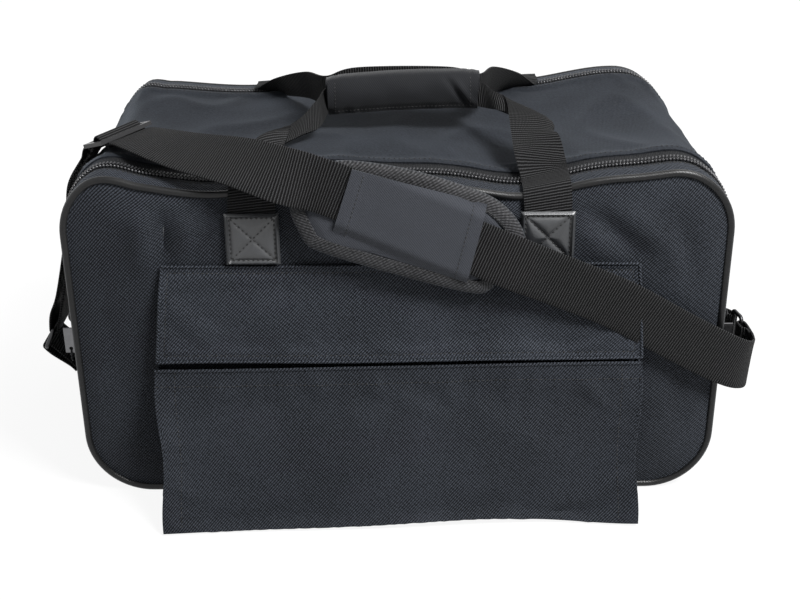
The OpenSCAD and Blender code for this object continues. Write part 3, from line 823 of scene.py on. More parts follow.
def band_grid(spots, normals, inset, rows):
    """A strip round the bag: one row for each y in rows, at an inset from the outer face."""
    at = spots - normals * inset
    grid = np.zeros((len(rows), len(at), 3))
    grid[:, :, 0] = at[None, :, 0]
    grid[:, :, 1] = np.asarray(rows)[:, None] if np.ndim(rows[0]) == 0 else np.asarray(rows)
    grid[:, :, 2] = at[None, :, 1]
    return grid


def strip_flat(grid):
    """Flat coordinates of a strip round the bag: its own width and its running length."""
    running = lengths(grid[len(grid) // 2])
    flat = np.zeros(grid.shape[:2] + (2,))
    flat[:, :, 0] = running[None, :]
    flat[:, :, 1] = grid[:, :, 1]
    return flat


def panel_grid(inset, low_z, high_z, step=6.0):
    """A grid over a panel's rounded outline, between two heights, as x and z."""
    bottom, top, radius = inset, BAG_H - inset, max(CORNER_R - inset, 1)
    turns = radius * (1 - np.cos(np.linspace(0, math.pi / 2, 10)))
    straight = np.arange(bottom + radius + step, top - radius, step)
    heights = np.concatenate([bottom + turns, straight, top - turns])
    heights = np.unique(np.round(np.clip(heights, low_z, high_z), 3))
    columns = int(2 * END_X / step)
    share = np.sin(np.linspace(-1, 1, columns + 1) * math.pi / 2 * 0.86) / math.sin(math.pi / 2 * 0.86)
    grid = np.zeros((len(heights), columns + 1, 2))
    for i, height in enumerate(heights):
        away = max(bottom + radius - height, height - (top - radius), 0.0)
        half = END_X - inset - radius + math.sqrt(max(radius ** 2 - away ** 2, 0.0))
        grid[i, :, 0] = share * half
        grid[i, :, 1] = height
    return grid


def other_side(points, back):
    """The same points on the front, or mirrored to the back."""
    found = np.array(points, float)
    if back:
        found[..., 1] = -found[..., 1]
    return found


def sew_on(made, body, nodes):
    """Rides a piece on its body, in place of construction nodes."""
    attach(made, body)
    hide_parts(*nodes)
    return made


def bend(made, bodies, y, heights, nodes, slot):
    """Bakes a piece where it stands, in place of construction nodes, without bending it between the heights;
    the bodies are not used.
    """
    start, end = ((0, y / MM, height / MM) for height in heights)
    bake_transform(made)
    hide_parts(*nodes)
    return made


def bend_at_fold(made, side, nodes, slot):
    """A piece of a door panel that runs on below the fold line."""
    y = -HALF_D if side == "front" else HALF_D
    return bend(made, ("bag_body", side + "_door"), y, (FOLD_Z - 12, FOLD_Z + 12), nodes, slot)


def bend_with_flap(made, above, below, nodes, slot):
    """A piece on the front door whose lower part reaches down to the pocket flap."""
    heights = (FLAP_TOP + above, FLAP_TOP - below)
    return bend(made, ("front_door", "pocket_flap"), -FLAP_Y, heights, nodes, slot)


class GigBagSizes(bpy.types.PropertyGroup):
    """Sizes of the soft shape and its sewing."""

    leg_dip: bpy.props.FloatProperty(
        name="Dip under the handles", description="How far the handles press the top edges down",
        default=0.008, min=0.0, max=0.02, unit="LENGTH")
    corner_lift: bpy.props.FloatProperty(
        name="Corner lift", description="How far both ends of the top stand up",
        default=0.009, min=0.0, max=0.02, unit="LENGTH")
    top_sag: bpy.props.FloatProperty(
        name="Top sag", description="How far the middle of the top hangs below its edges",
        default=0.005, min=0.0, max=0.015, unit="LENGTH")
    panel_puff: bpy.props.FloatProperty(
        name="Panel puff", description="How far the padded panels rise from their seams",
        default=0.0052, min=0.0, max=0.01, unit="LENGTH")
    end_bulge: bpy.props.FloatProperty(
        name="End bulge", description="How far the padded ends stand out in the middle",
        default=0.0045, min=0.0, max=0.01, unit="LENGTH")
    tooth_pitch: bpy.props.FloatProperty(
        name="Tooth pitch", description="Distance from one zip tooth to the next",
        default=0.0029, min=0.002, max=0.006, unit="LENGTH")
    toe_left: bpy.props.FloatProperty(
        name="Left toe", description="How much further the pocket reaches out at its left foot",
        default=0.014, min=0.0, max=0.018, unit="LENGTH")


class GigBagColours(bpy.types.PropertyGroup):
    """Colours of the bag's materials."""

    fabric: bpy.props.FloatVectorProperty(
        name="Outer fabric", description="Coated cloth of the panels and the pocket",
        subtype="COLOR", default=(0.0152, 0.0170, 0.0208), min=0.0, max=1.0)
    band: bpy.props.FloatVectorProperty(
        name="Band fabric", description="Smoother cloth of the top and the ends",
        subtype="COLOR", default=(0.0122, 0.0137, 0.0168), min=0.0, max=1.0)
    webbing: bpy.props.FloatVectorProperty(
        name="Webbing", description="Handles and shoulder strap",
        subtype="COLOR", default=(0.0150, 0.0151, 0.0155), min=0.0, max=1.0)
    pad: bpy.props.FloatVectorProperty(
        name="Pad fabric", description="Cloth of the shoulder pad and the grip",
        subtype="COLOR", default=(0.0325, 0.0352, 0.0425), min=0.0, max=1.0)
    trim: bpy.props.FloatVectorProperty(
        name="Trim", description="Piping, binding and zip tape",
        subtype="COLOR", default=(0.0095, 0.0095, 0.0100), min=0.0, max=1.0)
    leatherette: bpy.props.FloatVectorProperty(
        name="Leatherette", description="Patches at the handle ends",
        subtype="COLOR", default=(0.0200, 0.0215, 0.0240), min=0.0, max=1.0)
    lining: bpy.props.FloatVectorProperty(
        name="Lining", description="Quilted cloth inside the bag",
        subtype="COLOR", default=(0.055, 0.057, 0.062), min=0.0, max=1.0)
    metal: bpy.props.FloatVectorProperty(
        name="Hardware", description="Lacquered metal of sliders, pulls and rings",
        subtype="COLOR", default=(0.05, 0.05, 0.052), min=0.0, max=1.0)
    buckle: bpy.props.FloatVectorProperty(
        name="Buckle", description="Glossy plastic of the buckle and the zip coil",
        subtype="COLOR", default=(0.012, 0.012, 0.013), min=0.0, max=1.0)


# Rib pitch, lean in degrees, depth, contrast, roughness, sheen and gloss of the panels' cloth
TWILL = (1.9, -42, 0.45, 1.3, 0.62, 0.06, 0.08)


def mix_finishes(colours):
    """Makes every material of the bag."""
    woven_finish("panel_twill", colours.fabric, *TWILL)
    # The pouch's cloth is the panels' twill painted darker: painted shade.
    woven_finish("pouch_twill_painted_shade", tint(colours.fabric, 0.9), *TWILL)
    # The flap's cloth is the panels' twill painted lighter: painted light where the flap tilts up to the
    # lamps.
    woven_finish("flap_twill_painted_light", tint(colours.fabric, 1.2), *TWILL)
    woven_finish("band_nylon", colours.band, 1.15, 8, 0.1, 0.3, 0.75, 0.1, 0.07)
    woven_finish("binding", tint(colours.trim, 2.2), 2.2, 45, 0.3, 0.8, 0.6, 0.15)
    woven_finish("piping_cloth", tint(colours.trim, 0.4), 0.9, 20, 0.06, 0.25, 0.36, 0.05, 0.3)
    woven_finish("zip_tape", tint(colours.trim, 0.8), 1.4, 0, 0.2, 0.6, 0.7, 0.1)
    woven_finish("lining_cloth", colours.lining, 1.0, 0, 0.1, 0.25, 0.7, 0.3)
    webbing_finish("ribbed_webbing", colours.webbing)
    padded_finish("pad_cloth", colours.pad)
    padded_finish("grip_cloth", tint(colours.pad, 0.24))
    leatherette_finish("leatherette", colours.leatherette)
    moulded_finish("lacquered_metal", colours.metal, 0.34, 1.0, 0.05)
    moulded_finish("pull_metal", tint(colours.metal, 3.2), 0.36, 1.0, 0.05)
    moulded_finish("gloss_plastic", colours.buckle, 0.2, 0.0, 0.04)
    # The zip coil is the buckle's dark plastic painted three times lighter: painted highlight on the teeth.
    moulded_finish("coil_nylon_painted_highlight", tint(colours.buckle, 3.0), 0.16, 0.0, 0.03)
    moulded_finish("stiff_board", colours.lining, 0.7, 0.0, 0.2)
    thread_finish("thread", colours.trim)
    thread_finish("patch_thread", tint(colours.trim, 0.25))


# Band, rims, piping and zips


def make_band():
    """The top and both ends in one strip, and the base below them."""
    spots, normals = outline()
    edge = BAND_Y - BAND_BACK
    rows = np.linspace(-edge, edge, 43)
    at = np.flatnonzero(spots[:, 1] >= BASE_SEAM - 1.5)
    sewn = Sewn("band")
    flat_strip = band_grid(spots[at], normals[at], 0.0, rows)
    grid = soften(flat_strip)
    pinned = np.zeros(grid.shape[:2], bool)
    pinned[:2] = True
    pinned[-2:] = True
    pinned[:, :3] = True
    pinned[:, -3:] = True
    grid = settled(grid, pinned, 0.012, 0.0, 0.3, cap=2.5)
    level = smooth(BAG_H - 40, BAG_H - 12, flat_strip[:, :, 2])
    inside = 1 - smooth(BAND_Y - 26, BAND_Y, np.abs(grid[:, :, 1]))
    spread = flat_strip.reshape(-1, 3) * [1.0, 0.55, 1.0]
    rumple = (folds(spread, 55.0, 3) - 0.3).reshape(grid.shape[:2])
    ripple = cloud(spread, 24.0, 5).reshape(grid.shape[:2])
    lift = inside * ((0.5 + 0.9 * level) * rumple * 2.2 + 0.5 * ripple)
    way = in_space(normals[at], 0)
    grid = grid + way[None] * lift[:, :, None]
    flat = strip_flat(flat_strip)
    cloth(sewn, grid, flat, BAND_T, "band_nylon", (0, 0, FAR))
    for row in (1, len(rows) - 2):
        stitches(sewn, grid[row] + way * 0.1, way, pitch=4.2, radius=0.28)
    sew_on(sewn.make(), "bag_body", ["band_skin"])

    lower = np.flatnonzero(spots[:, 1] <= BASE_SEAM + 3)
    start = np.flatnonzero(np.diff(lower) > 1)
    lower = np.concatenate([lower[start[0] + 1:], lower[:start[0] + 1]]) if len(start) else lower
    sewn = Sewn("base")
    under = band_grid(spots[lower], normals[lower], 0.5, np.linspace(-BAND_Y, BAND_Y, 31))
    cloth(sewn, soften(under), strip_flat(under), BASE_T, "panel_twill", (0, 0, -FAR))
    sew_on(sewn.make(), "bag_body", ["base_skin"])


def make_rim(side):
    """The strip between the piping and the zip. Below the zip's ends its edge goes under the band."""
    spots, normals = outline(closed=True)
    edge = RIM_Y + (BAND_Y + 0.2 - RIM_Y) * (1 - smooth(FOLD_Z + 2, ZIP_END - 4, spots[:, 1]))
    edge = edge - RIM_UNDER * (1 - smooth(FOLD_Z - 24, FOLD_Z - 10, spots[:, 1]))
    share = np.linspace(0, 1, 9)
    rows = -(RIM_FRONT + 1.6 + (edge[None, :] - RIM_FRONT - 1.6) * share[:, None])
    way = in_space(normals, 0)
    curl = np.sin(math.pi * share) * 0.8
    grid = band_grid(spots, normals, 1.0, list(rows)) + way[None] * curl[:, None, None]
    flat = strip_flat(grid)
    grid = soften(other_side(grid, side == "back"), faces=False)
    sewn = Sewn(side + "_rim")
    cloth(sewn, grid, flat, RIM_T, "panel_twill", (0, 0, FAR))
    stitches(sewn, grid[7] + way * 0.1, way, pitch=4.2)
    bend_at_fold(sewn.make(), side, [side + "_door_rim", side + "_lower_rim"], "outer_fabric")


def make_piping(side):
    """One round piping all the way along the panel's edge."""
    spots, normals = outline()
    at = spots - normals * PIPE_R
    path = in_space(at, -HALF_D + PIPE_R)
    path = soften(other_side(path, side == "back"), faces=False)
    sewn = Sewn(side + "_piping")
    tube(sewn, path, PIPE_R, "piping_cloth", closed=True, sides=12)
    bend_at_fold(sewn.make(), side, [side + "_door_piping", side + "_lower_piping"], "trim")


def zip_path(y, lowest):
    """A line over the ends and the top at one distance from the middle, with its outward way."""
    spots, normals = outline(step=3.0, turn_steps=40)
    chosen = spots[:, 1] >= lowest
    return in_space(spots[chosen], y), in_space(normals[chosen], 0)


TOOTH = [
    (-1.75, 0.0), (-1.6, 0.75), (-1.1, 1.05), (-0.4, 0.9),
    (0.5, 0.5), (1.4, 0.42), (2.1, 0.4), (2.3, 0.0),
]


def coil(sewn, side_y, inward, back):
    """One half of the zip's coil: a row of rounded teeth with thick heads at the middle."""
    path, out = zip_path(side_y, ZIP_END)
    path = soften(other_side(path, back), faces=False)
    running = lengths(path)
    pitch = settings().tooth_pitch * MM
    middles = np.arange(pitch, running[-1] - pitch, pitch)
    if inward > 0:
        middles = middles[:-1] + pitch / 2
    at = at_lengths(path, running, middles)
    up = unit(at_lengths(out, running, middles))
    run = unit(at_lengths(path, running, middles + 1) - at)
    across = np.array([0.0, -inward if back else inward, 0.0])
    slant = unit(across + 0.28 * run)
    third = unit(np.cross(slant, up))
    sides = 7
    turns = np.arange(sides) * 2 * math.pi / sides
    rings = []
    for place, share in TOOTH:
        for turn in turns:
            around = third * 1.12 * math.cos(turn) + up * 1.25 * math.sin(turn)
            rings.append(at + slant * place + up * 0.35 + around * max(share, 0.03))
    # The teeth carry painted highlight in their lighter colour.
    add_many(sewn, rings, sides, "coil_nylon_painted_highlight")


def make_zip(side):
    """Both halves of a zip, each a tape with its coil. The bag's half has end stops and a strip behind."""
    back = side == "back"
    body_of_half = {"band": "bag_body", "door": side + "_door"}
    for half, inward in (("band", -1.0), ("door", 1.0)):
        sewn = Sewn(side + "_zip_" + half)
        path, out = zip_path(-ZIP_Y, ZIP_END)
        reach = np.linspace(0.5, TAPE_REACH[half], 6)
        tape, up = zip_path(-ZIP_Y, FOLD_Z - 30) if half == "band" else (path, out)
        grid = tape[None] - np.array([0, 1.0, 0]) * (inward * (1.2 + reach))[:, None, None]
        grid = grid - up[None] * TAPE_DEEP[half]
        flat = strip_flat(grid)
        grid = soften(other_side(grid, back), faces=False)
        cloth(sewn, grid, flat, TAPE_T, "zip_tape", (0, 0, FAR))
        coil(sewn, -ZIP_Y - inward * TEETH_OFF, inward, back)
        if half == "band":
            line, away = zip_path(-ZIP_Y, FOLD_Z - 12)
            across = inward * np.linspace(*GUARD_EDGES, 6)
            guard = line[None] - np.array([0, 1.0, 0]) * across[:, None, None] - away[None] * GUARD_DEEP
            behind = soften(other_side(guard, back), faces=False)
            cloth(sewn, behind, strip_flat(guard), TAPE_T, "zip_tape", (0, 0, FAR))
            for edge in (0, -1):
                bar = path[edge] + np.linspace(-3.0, 3.0, 5)[:, None] * [0, 1.0, 0] - [0, 0, 3.0]
                tube(sewn, other_side(bar - out[edge] * 0.7, back), 1.6, "coil_nylon_painted_highlight")
        nodes = [side + "_zip_" + half]
        sew_on(sewn.make(), body_of_half[half], nodes)


# Panels and their lining


def make_panel(side):
    """A whole padded panel: the door above the fold line and what stays below it."""
    back = side == "back"
    plan = panel_grid(PANEL_IN - 2.2, 0, BAG_H)
    x, z = plan[:, :, 0], plan[:, :, 1]
    grid = soften(other_side(np.stack([x, np.full_like(x, -HALF_D), z], axis=2), back))
    spread = grid.reshape(-1, 3)
    wavy = cloud(spread, 70.0, 2 if back else 1).reshape(x.shape)
    small = cloud(spread, 28.0, 4).reshape(x.shape)
    calm = smooth(4, 40, border(x, z))
    under = 1 - smooth(FLAP_TOP + 10, FLAP_TOP - 4, z) * (1 - smooth(POCKET - 6, POCKET + 8, np.abs(x)))
    lift = calm * (creased(-x if back else x, z) * 0.9 + 2.0 * wavy + 0.6 * small) * (0.25 + 0.75 * under)
    leg = np.exp(-(((np.abs(x) - PATCH_X) / 30.0) ** 4)) * smooth(PATCH_LOW[2] - 18, PATCH_LOW[2] - 2, z)
    lift = lift * (1 - 0.9 * leg)
    grid[:, :, 1] += lift if back else -lift
    sewn = Sewn(side + "_panel")
    cloth(sewn, grid, plan, PANEL_T, "panel_twill", (0, FAR if back else -FAR, 150))
    nodes = [side + "_door_skin", side + "_lower_skin"]
    made = bend_at_fold(sewn.make(), side, nodes, "outer_fabric")


def quilt(x, y):
    """Height of a diamond quilting, 0 on its seams and 1 between them."""
    first = np.abs(np.sin(math.pi * (x + y) / 62.0))
    second = np.abs(np.sin(math.pi * (x - y) / 62.0))
    return np.minimum(first, second) ** 0.5


def make_lining():
    """Quilted lining and foam inside the panels and round the band."""
    for side in ("front", "back"):
        back = side == "back"
        plan = panel_grid(PANEL_IN + 5, 0, BAG_H, step=7.0)
        x, z = plan[:, :, 0], plan[:, :, 1]
        puffed = quilt(x, z) * 1.8
        grid = np.stack([x, -LINING_Y - 1.8 + puffed, z], axis=2)
        grid = soften(other_side(grid, back), faces=False)
        sewn = Sewn(side + "_lining")
        cloth(sewn, grid, plan, PANEL_LINING_T, "lining_cloth", (0, 0, 150))
        nodes = [f"{side}_{part}" for part in ("door_foam", "door_lining", "lower_foam", "lower_lining")]
        bend_at_fold(sewn.make(), side, nodes, "lining")
    spots, normals = outline(step=7.0, closed=True)
    rows = np.linspace(-FOAM_Y, FOAM_Y, 31)
    grid = band_grid(spots, normals, LINING_IN + 0.6, rows)
    way = in_space(normals, 0)
    flat = strip_flat(grid)
    grid = soften(grid - way[None] * (quilt(flat[:, :, 0], flat[:, :, 1]) * 1.4 - 1.4)[:, :, None])
    sewn = Sewn("band_lining_quilt")
    cloth(sewn, grid, flat, BAND_LINING_T, "lining_cloth", (0, 0, 150))
    made = sew_on(sewn.make(), "bag_body", ["band_foam", "band_lining"])


# Pocket


def pouch_front(x, share):
    """A point of the pouch's front: share runs from its foot on the floor to its mouth."""
    left = smooth(POCKET, -POCKET, x)
    toe = TOE_Y + 1 + settings().toe_left * MM * left ** 2
    toe = toe + 2.5 * np.cos(x / 46.0) + 4.5 * smooth(120, 200, x)
    foot = 1.6 + 4.0 * np.exp(-(((x - 40) / 130.0) ** 2)) + 1.2 * np.sin(x / 33.0) * (1 - left)
    mouth = MOUTH_Z + 9.5 - 5.0 * left
    y = toe + (MOUTH_Y + 0.5 - toe) * share
    belly = 5.0 * np.sin(math.pi * np.clip(share, 0, 1) ** 0.8) * np.cos(math.pi * x / (2.3 * POCKET))
    z = foot + (mouth - foot) * share
    return -(y + belly), z


POUCH_CREASES = [
    ((-20, 0.95), (70, 0.62), 8, 2.0),
    ((30, 0.98), (120, 0.5), 9, 1.8),
    ((-70, 0.97), (-30, 0.7), 8, 1.5),
    ((-150, 0.9), (-185, 0.55), 9, 1.6),
    ((150, 0.95), (196, 0.7), 8, 1.6),
    ((-195, 0.3), (-120, 0.12), 10, 2.2),
    ((120, 0.1), (195, 0.3), 10, 1.8),
    ((-60, 0.08), (60, 0.12), 9, 1.8),
]


def cut_area(grid):
    """Area of a grid of cloth, in square metres."""
    first = grid[1:, 1:] - grid[:-1, :-1]
    second = grid[1:, :-1] - grid[:-1, 1:]
    return 0.5 * np.linalg.norm(np.cross(first, second), axis=2).sum() / MM ** 2


def make_pouch():
    """The pouch: a front that leans out to its foot, side gussets, a bottom and a rolled hem."""
    sewn = Sewn("pouch_cloth")
    columns = np.linspace(-POCKET, POCKET, 97)
    shares = np.linspace(0, 1, 33)
    x, share = np.meshgrid(columns, shares)
    y, z = pouch_front(x, share)
    pull = 2.6 * np.sin(math.pi * share) * (x / POCKET) ** 5
    pull = pull + (1 - share) ** 1.5 * np.where(x < 0, 7.0, 3.0) * (x / POCKET) ** 3
    wave = 1.5 * np.sin(share * 9.0 + 0.8) * (np.abs(x) / POCKET) ** 8
    grid = np.stack([x - pull + wave * np.sign(x), y, z], axis=2)
    pinned = np.zeros(x.shape, bool)
    pinned[0] = True
    pinned[-1] = True
    pinned[:, [0, -1]] = True
    grid = settled(grid, pinned, 0.012, 0.0, 0.3, cap=6.0)
    total = np.zeros_like(x)
    for start, end, wide, tall in POUCH_CREASES:
        begin = np.array([start[0], start[1] * MOUTH_Z])
        run = np.array([end[0], end[1] * MOUTH_Z]) - begin
        along = np.clip(((x - begin[0]) * run[0] + (z - begin[1]) * run[1]) / np.dot(run, run), 0, 1)
        away = np.hypot(x - begin[0] - along * run[0], z - begin[1] - along * run[1])
        total += tall * (1 - 0.6 * along) * np.exp(-((away / wide) ** 2))
    soft = cloud(grid.reshape(-1, 3), 48.0, 9).reshape(x.shape)
    edge = smooth(0, 26, POCKET - np.abs(x)) * smooth(0, 0.14, share) * smooth(0, 0.1, 1 - share)
    grid[:, :, 1] -= (total + 1.3 * soft) * edge
    flat = np.stack([x, z * 1.06], axis=2)
    # The pouch's twill carries painted shade: it is the panels' cloth made darker.
    normal = cloth(sewn, grid, flat, POUCH_T, "pouch_twill_painted_shade", (0, -FAR, 60))
    cut = cut_area(grid)
    for end in (0, -1):
        front = grid[:, end]
        sign = -1 if end == 0 else 1
        deep = np.linspace(0, 1, 8)
        back_y = -HALF_D - relief(front[:, 0], front[:, 2]) - 0.6
        gusset = np.zeros((len(shares), 8, 3))
        tuck = 5.0 * np.sin(math.pi * deep)[None, :] * np.sin(math.pi * shares)[:, None]
        gusset[:, :, 0] = front[:, None, 0] - sign * (1.0 + tuck)
        gusset[:, :, 1] = front[:, None, 1] + 1.2 + (back_y[:, None] - front[:, None, 1] - 1.2) * deep[None]
        gusset[:, :, 2] = front[:, None, 2]
        flat_gusset = np.stack([gusset[:, :, 1], gusset[:, :, 2]], axis=2)
        cloth(sewn, gusset, flat_gusset, GUSSET_T, "pouch_twill_painted_shade", (sign * FAR, -180, 60))
        cut += cut_area(gusset)
        inner = 4 if end == 0 else -5
        stitches(sewn, grid[1:, inner] + normal[1:, inner] * 0.1, normal[1:, inner])
    deep = np.linspace(0, 1, 10)
    foot = grid[0]
    bottom = np.zeros((10, len(columns), 3))
    bottom[:, :, 0] = foot[None, :, 0]
    bottom[:, :, 1] = foot[None, :, 1] + 1.0 + (-HALF_D + 1.5 - foot[None, :, 1]) * deep[:, None]
    bottom[:, :, 2] = 0.9 + (foot[None, :, 2] - 0.9) * (1 - deep[:, None]) ** 2
    flat_bottom = np.stack([bottom[:, :, 0], bottom[:, :, 1]], axis=2)
    cloth(sewn, bottom, flat_bottom, POUCH_FLOOR_T, "pouch_twill_painted_shade", (0, -180, -FAR))
    hem = grid[-1] + normal[-1] * -0.8
    tube(sewn, hem, 1.7, "pouch_twill_painted_shade", sides=8)
    stitches(sewn, grid[-4] + normal[-4] * 0.1, normal[-4])
    made = sewn.make()
    sew_on(made, "bag_body", ["pouch", "pouch_hem"])
    deep = (TOE_Y - HALF_D) / MM
    wide = 2 * POCKET / MM + 2 * deep
    tall = 1.15 * MOUTH_Z / MM + deep
    cut + cut_area(bottom)
    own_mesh(made)


def edged(length, count):
    """Shares from 0 to 1 of a length, close together near both ends where a hem is sewn."""
    near = np.array([0.0, 1.4, 2.8, 4.2, 5.6, 7.0, 9.5]) / length
    return np.concatenate([near, np.linspace(13 / length, 1 - 13 / length, count), 1 - near[::-1]])


def make_flap():
    """The flap over the pouch, hemmed on three sides and sewn to the door along its top."""
    sewn = Sewn("flap_cloth")
    edge_low = low("pocket_flap")[2]
    columns = edged(2 * POCKET, 85) * 2 - 1
    shares = edged(FLAP_LONG, 17)
    x, share = np.meshgrid(columns, shares)
    half = POCKET - np.where(x < 0, 12, 7) + np.where(x < 0, 9, 6) * share
    x = x * half
    free = edge_low - 2.8 + 2.6 * smooth(-POCKET, POCKET, x) + 0.7 * np.sin(x / 38.0)
    top = FLAP_TOP + 1.5 + 0.6 * np.sin(x / 60.0)
    z = top + (free - top) * share
    out = FLAP_Y - HALF_D + 4.2 * smooth(0, 0.35, share) + 2.0 * np.sin(math.pi * share) ** 0.7
    hang = 1.4 * np.sin(x / 52.0 + 0.7) * share ** 1.5 + 6.5 * share ** 1.6
    y = -HALF_D - relief(x, z) - out - hang
    grid = np.stack([x, y, z], axis=2)
    pinned = np.zeros(x.shape, bool)
    pinned[[0, 1, 2, 3, 4, -5, -4, -3, -2, -1]] = True
    pinned[:, [0, 1, 2, 3, 4, -5, -4, -3, -2, -1]] = True
    grid = settled(grid, pinned, 0.006, 0.0, 0.2, cap=4.0)
    soft = cloud(grid.reshape(-1, 3), 60.0, 12).reshape(x.shape)
    inside = half - np.abs(x)
    hemmed = smooth(0, 16, inside) * smooth(0, 0.14, share) * smooth(0, 0.14, 1 - share)
    to_hem = np.minimum(np.minimum(1 - share, share) * FLAP_LONG, inside)
    drawn = np.exp(-(((to_hem - 5.6) / 1.5) ** 2))
    grid[:, :, 1] -= 2.6 * soft * hemmed - 1.1 * drawn
    flat = np.stack([x, z], axis=2)
    # The flap's twill carries painted light: it is the panels' cloth made lighter.
    normal = cloth(sewn, grid, flat, FLAP_T, "flap_twill_painted_light", (0, -FAR, 180))
    for line in (grid[0], grid[-1], grid[:, 0], grid[:, -1]):
        tube(sewn, line, 1.25, "flap_twill_painted_light", sides=8)
    for row in (4, -5):
        stitches(sewn, grid[row, 4:-4] + normal[row, 4:-4] * 0.15, normal[row, 4:-4])
    for column in (4, -5):
        stitches(sewn, grid[4:-4, column] + normal[4:-4, column] * 0.15, normal[4:-4, column])
    made = bend_with_flap(sewn.make(), 1, 15, ["pocket_flap"], "outer_fabric")
    (FLAP_TOP - edge_low + 1) / MM


# Handles and patches


def leg_middle(sign, back):
    """Middle of a handle's leg along the bag. The front left one is sewn a little further in."""
    return sign * PATCH_X + (4.5 if sign < 0 and not back else 0.0)


def make_patches(side):
    """Two leatherette patches, drawn in along a box of stitches with a cross."""
    back = side == "back"
    sewn = Sewn(side + "_patch_pair")
    for sign in (-1, 1):
        middle = np.array([leg_middle(sign, back), (PATCH_LOW[2] + PATCH_HIGH[2]) / 2])
        half = PATCH_W / 2
        share = np.linspace(-1, 1, 45)
        u, v = np.meshgrid(share * half, share * half)
        box_edge = half - BOX_IN
        to_box = np.minimum(np.abs(np.abs(u) - box_edge), np.abs(np.abs(v) - box_edge))
        to_box = np.where(np.maximum(np.abs(u), np.abs(v)) > box_edge + 1.5, 9.0, to_box)
        to_cross = np.minimum(np.abs(u - v), np.abs(u + v)) / math.sqrt(2)
        to_cross = np.where(np.maximum(np.abs(u), np.abs(v)) > box_edge, 9.0, to_cross)
        drawn = np.minimum(to_box, to_cross)
        swell = 2.6 * (1 - np.exp(-drawn / 3.2))
        edge = np.minimum(half - np.abs(u), half - np.abs(v))
        swell = swell * smooth(-0.5, 2.0, edge)
        x = middle[0] + u
        z = middle[1] + v
        y = PATCH_LOW[1] + 1.0 - swell - relief(x, z)
        grid = other_side(np.stack([x, y, z], axis=2), back)
        flat = np.stack([u, v], axis=2)
        away = (0, FAR if back else -FAR, 240)
        normal = cloth(sewn, grid, flat, PATCH_T, "leatherette", away)
        inner = int(round((BOX_IN / PATCH_W) * 44))
        last = 44 - inner
        span = np.arange(inner, last + 1)
        near, far = np.full_like(span, inner), np.full_like(span, last)
        rows = [(span, near), (span, far), (near, span), (far, span), (span, span), (span, span[::-1])]
        for i, j in rows:
            stitches(sewn, grid[i, j] + normal[i, j] * 0.15, normal[i, j], 4.0, 2.7, 0.62, "patch_thread")
    sew_on(sewn.make(), side + "_door", [side + "_patches"])


def ribbon(sewn, stations, width, thick, first=0, last=None, steps=10):
    """Webbing through stations of [centre, way across], or a stretch of it."""
    mids = curve([s[0] for s in stations], steps)
    sides = curve([unit(s[1]) for s in stations], steps)
    run = unit(np.gradient(mids, axis=0))
    normals = unit(np.cross(run, sides))
    sides = unit(np.cross(normals, run))
    running = lengths(mids)
    stop = len(mids) - 1 if last is None else last * steps
    part = slice(first * steps, stop + 1)
    mids, sides, normals, running = mids[part], sides[part], normals[part], running[part]
    profile = np.array(flat_profile(width, thick))
    count, size = len(mids), len(profile)
    across = np.tile(profile[None, :, :1], (count, 1, 1))
    points = mids[:, None] + sides[:, None] * across + normals[:, None] * profile[None, :, 1:]
    faces = grid_faces(count, size, wrap_columns=True, flip=True)
    faces.append(list(range(size))[::-1])
    faces.append([(count - 1) * size + k for k in range(size)])
    flat = np.concatenate([across, np.tile(running[:, None, None], (1, size, 1))], axis=2)
    sewn.add(points.reshape(-1, 3), faces, flat.reshape(-1, 2), "ribbed_webbing")
    return mids, sides


WEB_Y = HALF_D + 0.6 + WEB_T / 2


def strip(sewn, rows, thick, finish, steps=8, columns=10):
    """Webbing between two edges. Each row has a point of both edges, and one between where it bends."""
    rows = [row if len(row) == 3 else [row[0], np.add(row[0], row[1]) / 2, row[1]] for row in rows]
    first, mid, second = (curve([row[k] for row in rows], steps)[:, None] for k in range(3))
    share = np.linspace(0, 1, columns + 1)[None, :, None]
    grid = first * (1 - share) * (1 - 2 * share) + mid * 4 * share * (1 - share)
    grid = grid + second * share * (2 * share - 1)
    middle = lengths(grid[:, columns // 2])
    normal = grid_normals(grid)
    for row in range(1, len(normal)):
        if np.dot(normal[row, columns // 2], normal[row - 1, columns // 2]) < 0:
            normal[row] = -normal[row]
    count = grid.shape[0] * grid.shape[1]
    points = np.concatenate([(grid + way * normal * thick / 2).reshape(-1, 3) for way in (1, -1)])
    faces = grid_faces(grid.shape[0], grid.shape[1])
    faces += grid_faces(grid.shape[0], grid.shape[1], start=count, flip=True)
    wide = columns + 1
    for row in range(grid.shape[0] - 1):
        for column, flip in ((0, False), (columns, True)):
            face = [row * wide + column, (row + 1) * wide + column,
                    (row + 1) * wide + column + count, row * wide + column + count]
            faces.append(face[::-1] if flip else face)
    for row, flip in ((0, True), (grid.shape[0] - 1, False)):
        for column in range(columns):
            a = row * wide + column
            face = [a, a + 1, a + 1 + count, a + count]
            faces.append(face[::-1] if flip else face)
    flat = np.zeros((grid.shape[0], wide, 2))
    flat[:, :, 0] = share[:, :, 0] * WEB_W
    flat[:, :, 1] = middle[:, None]
    flat = flat.reshape(-1, 2)
    sewn.add(points, faces, np.concatenate([flat, flat]), finish)


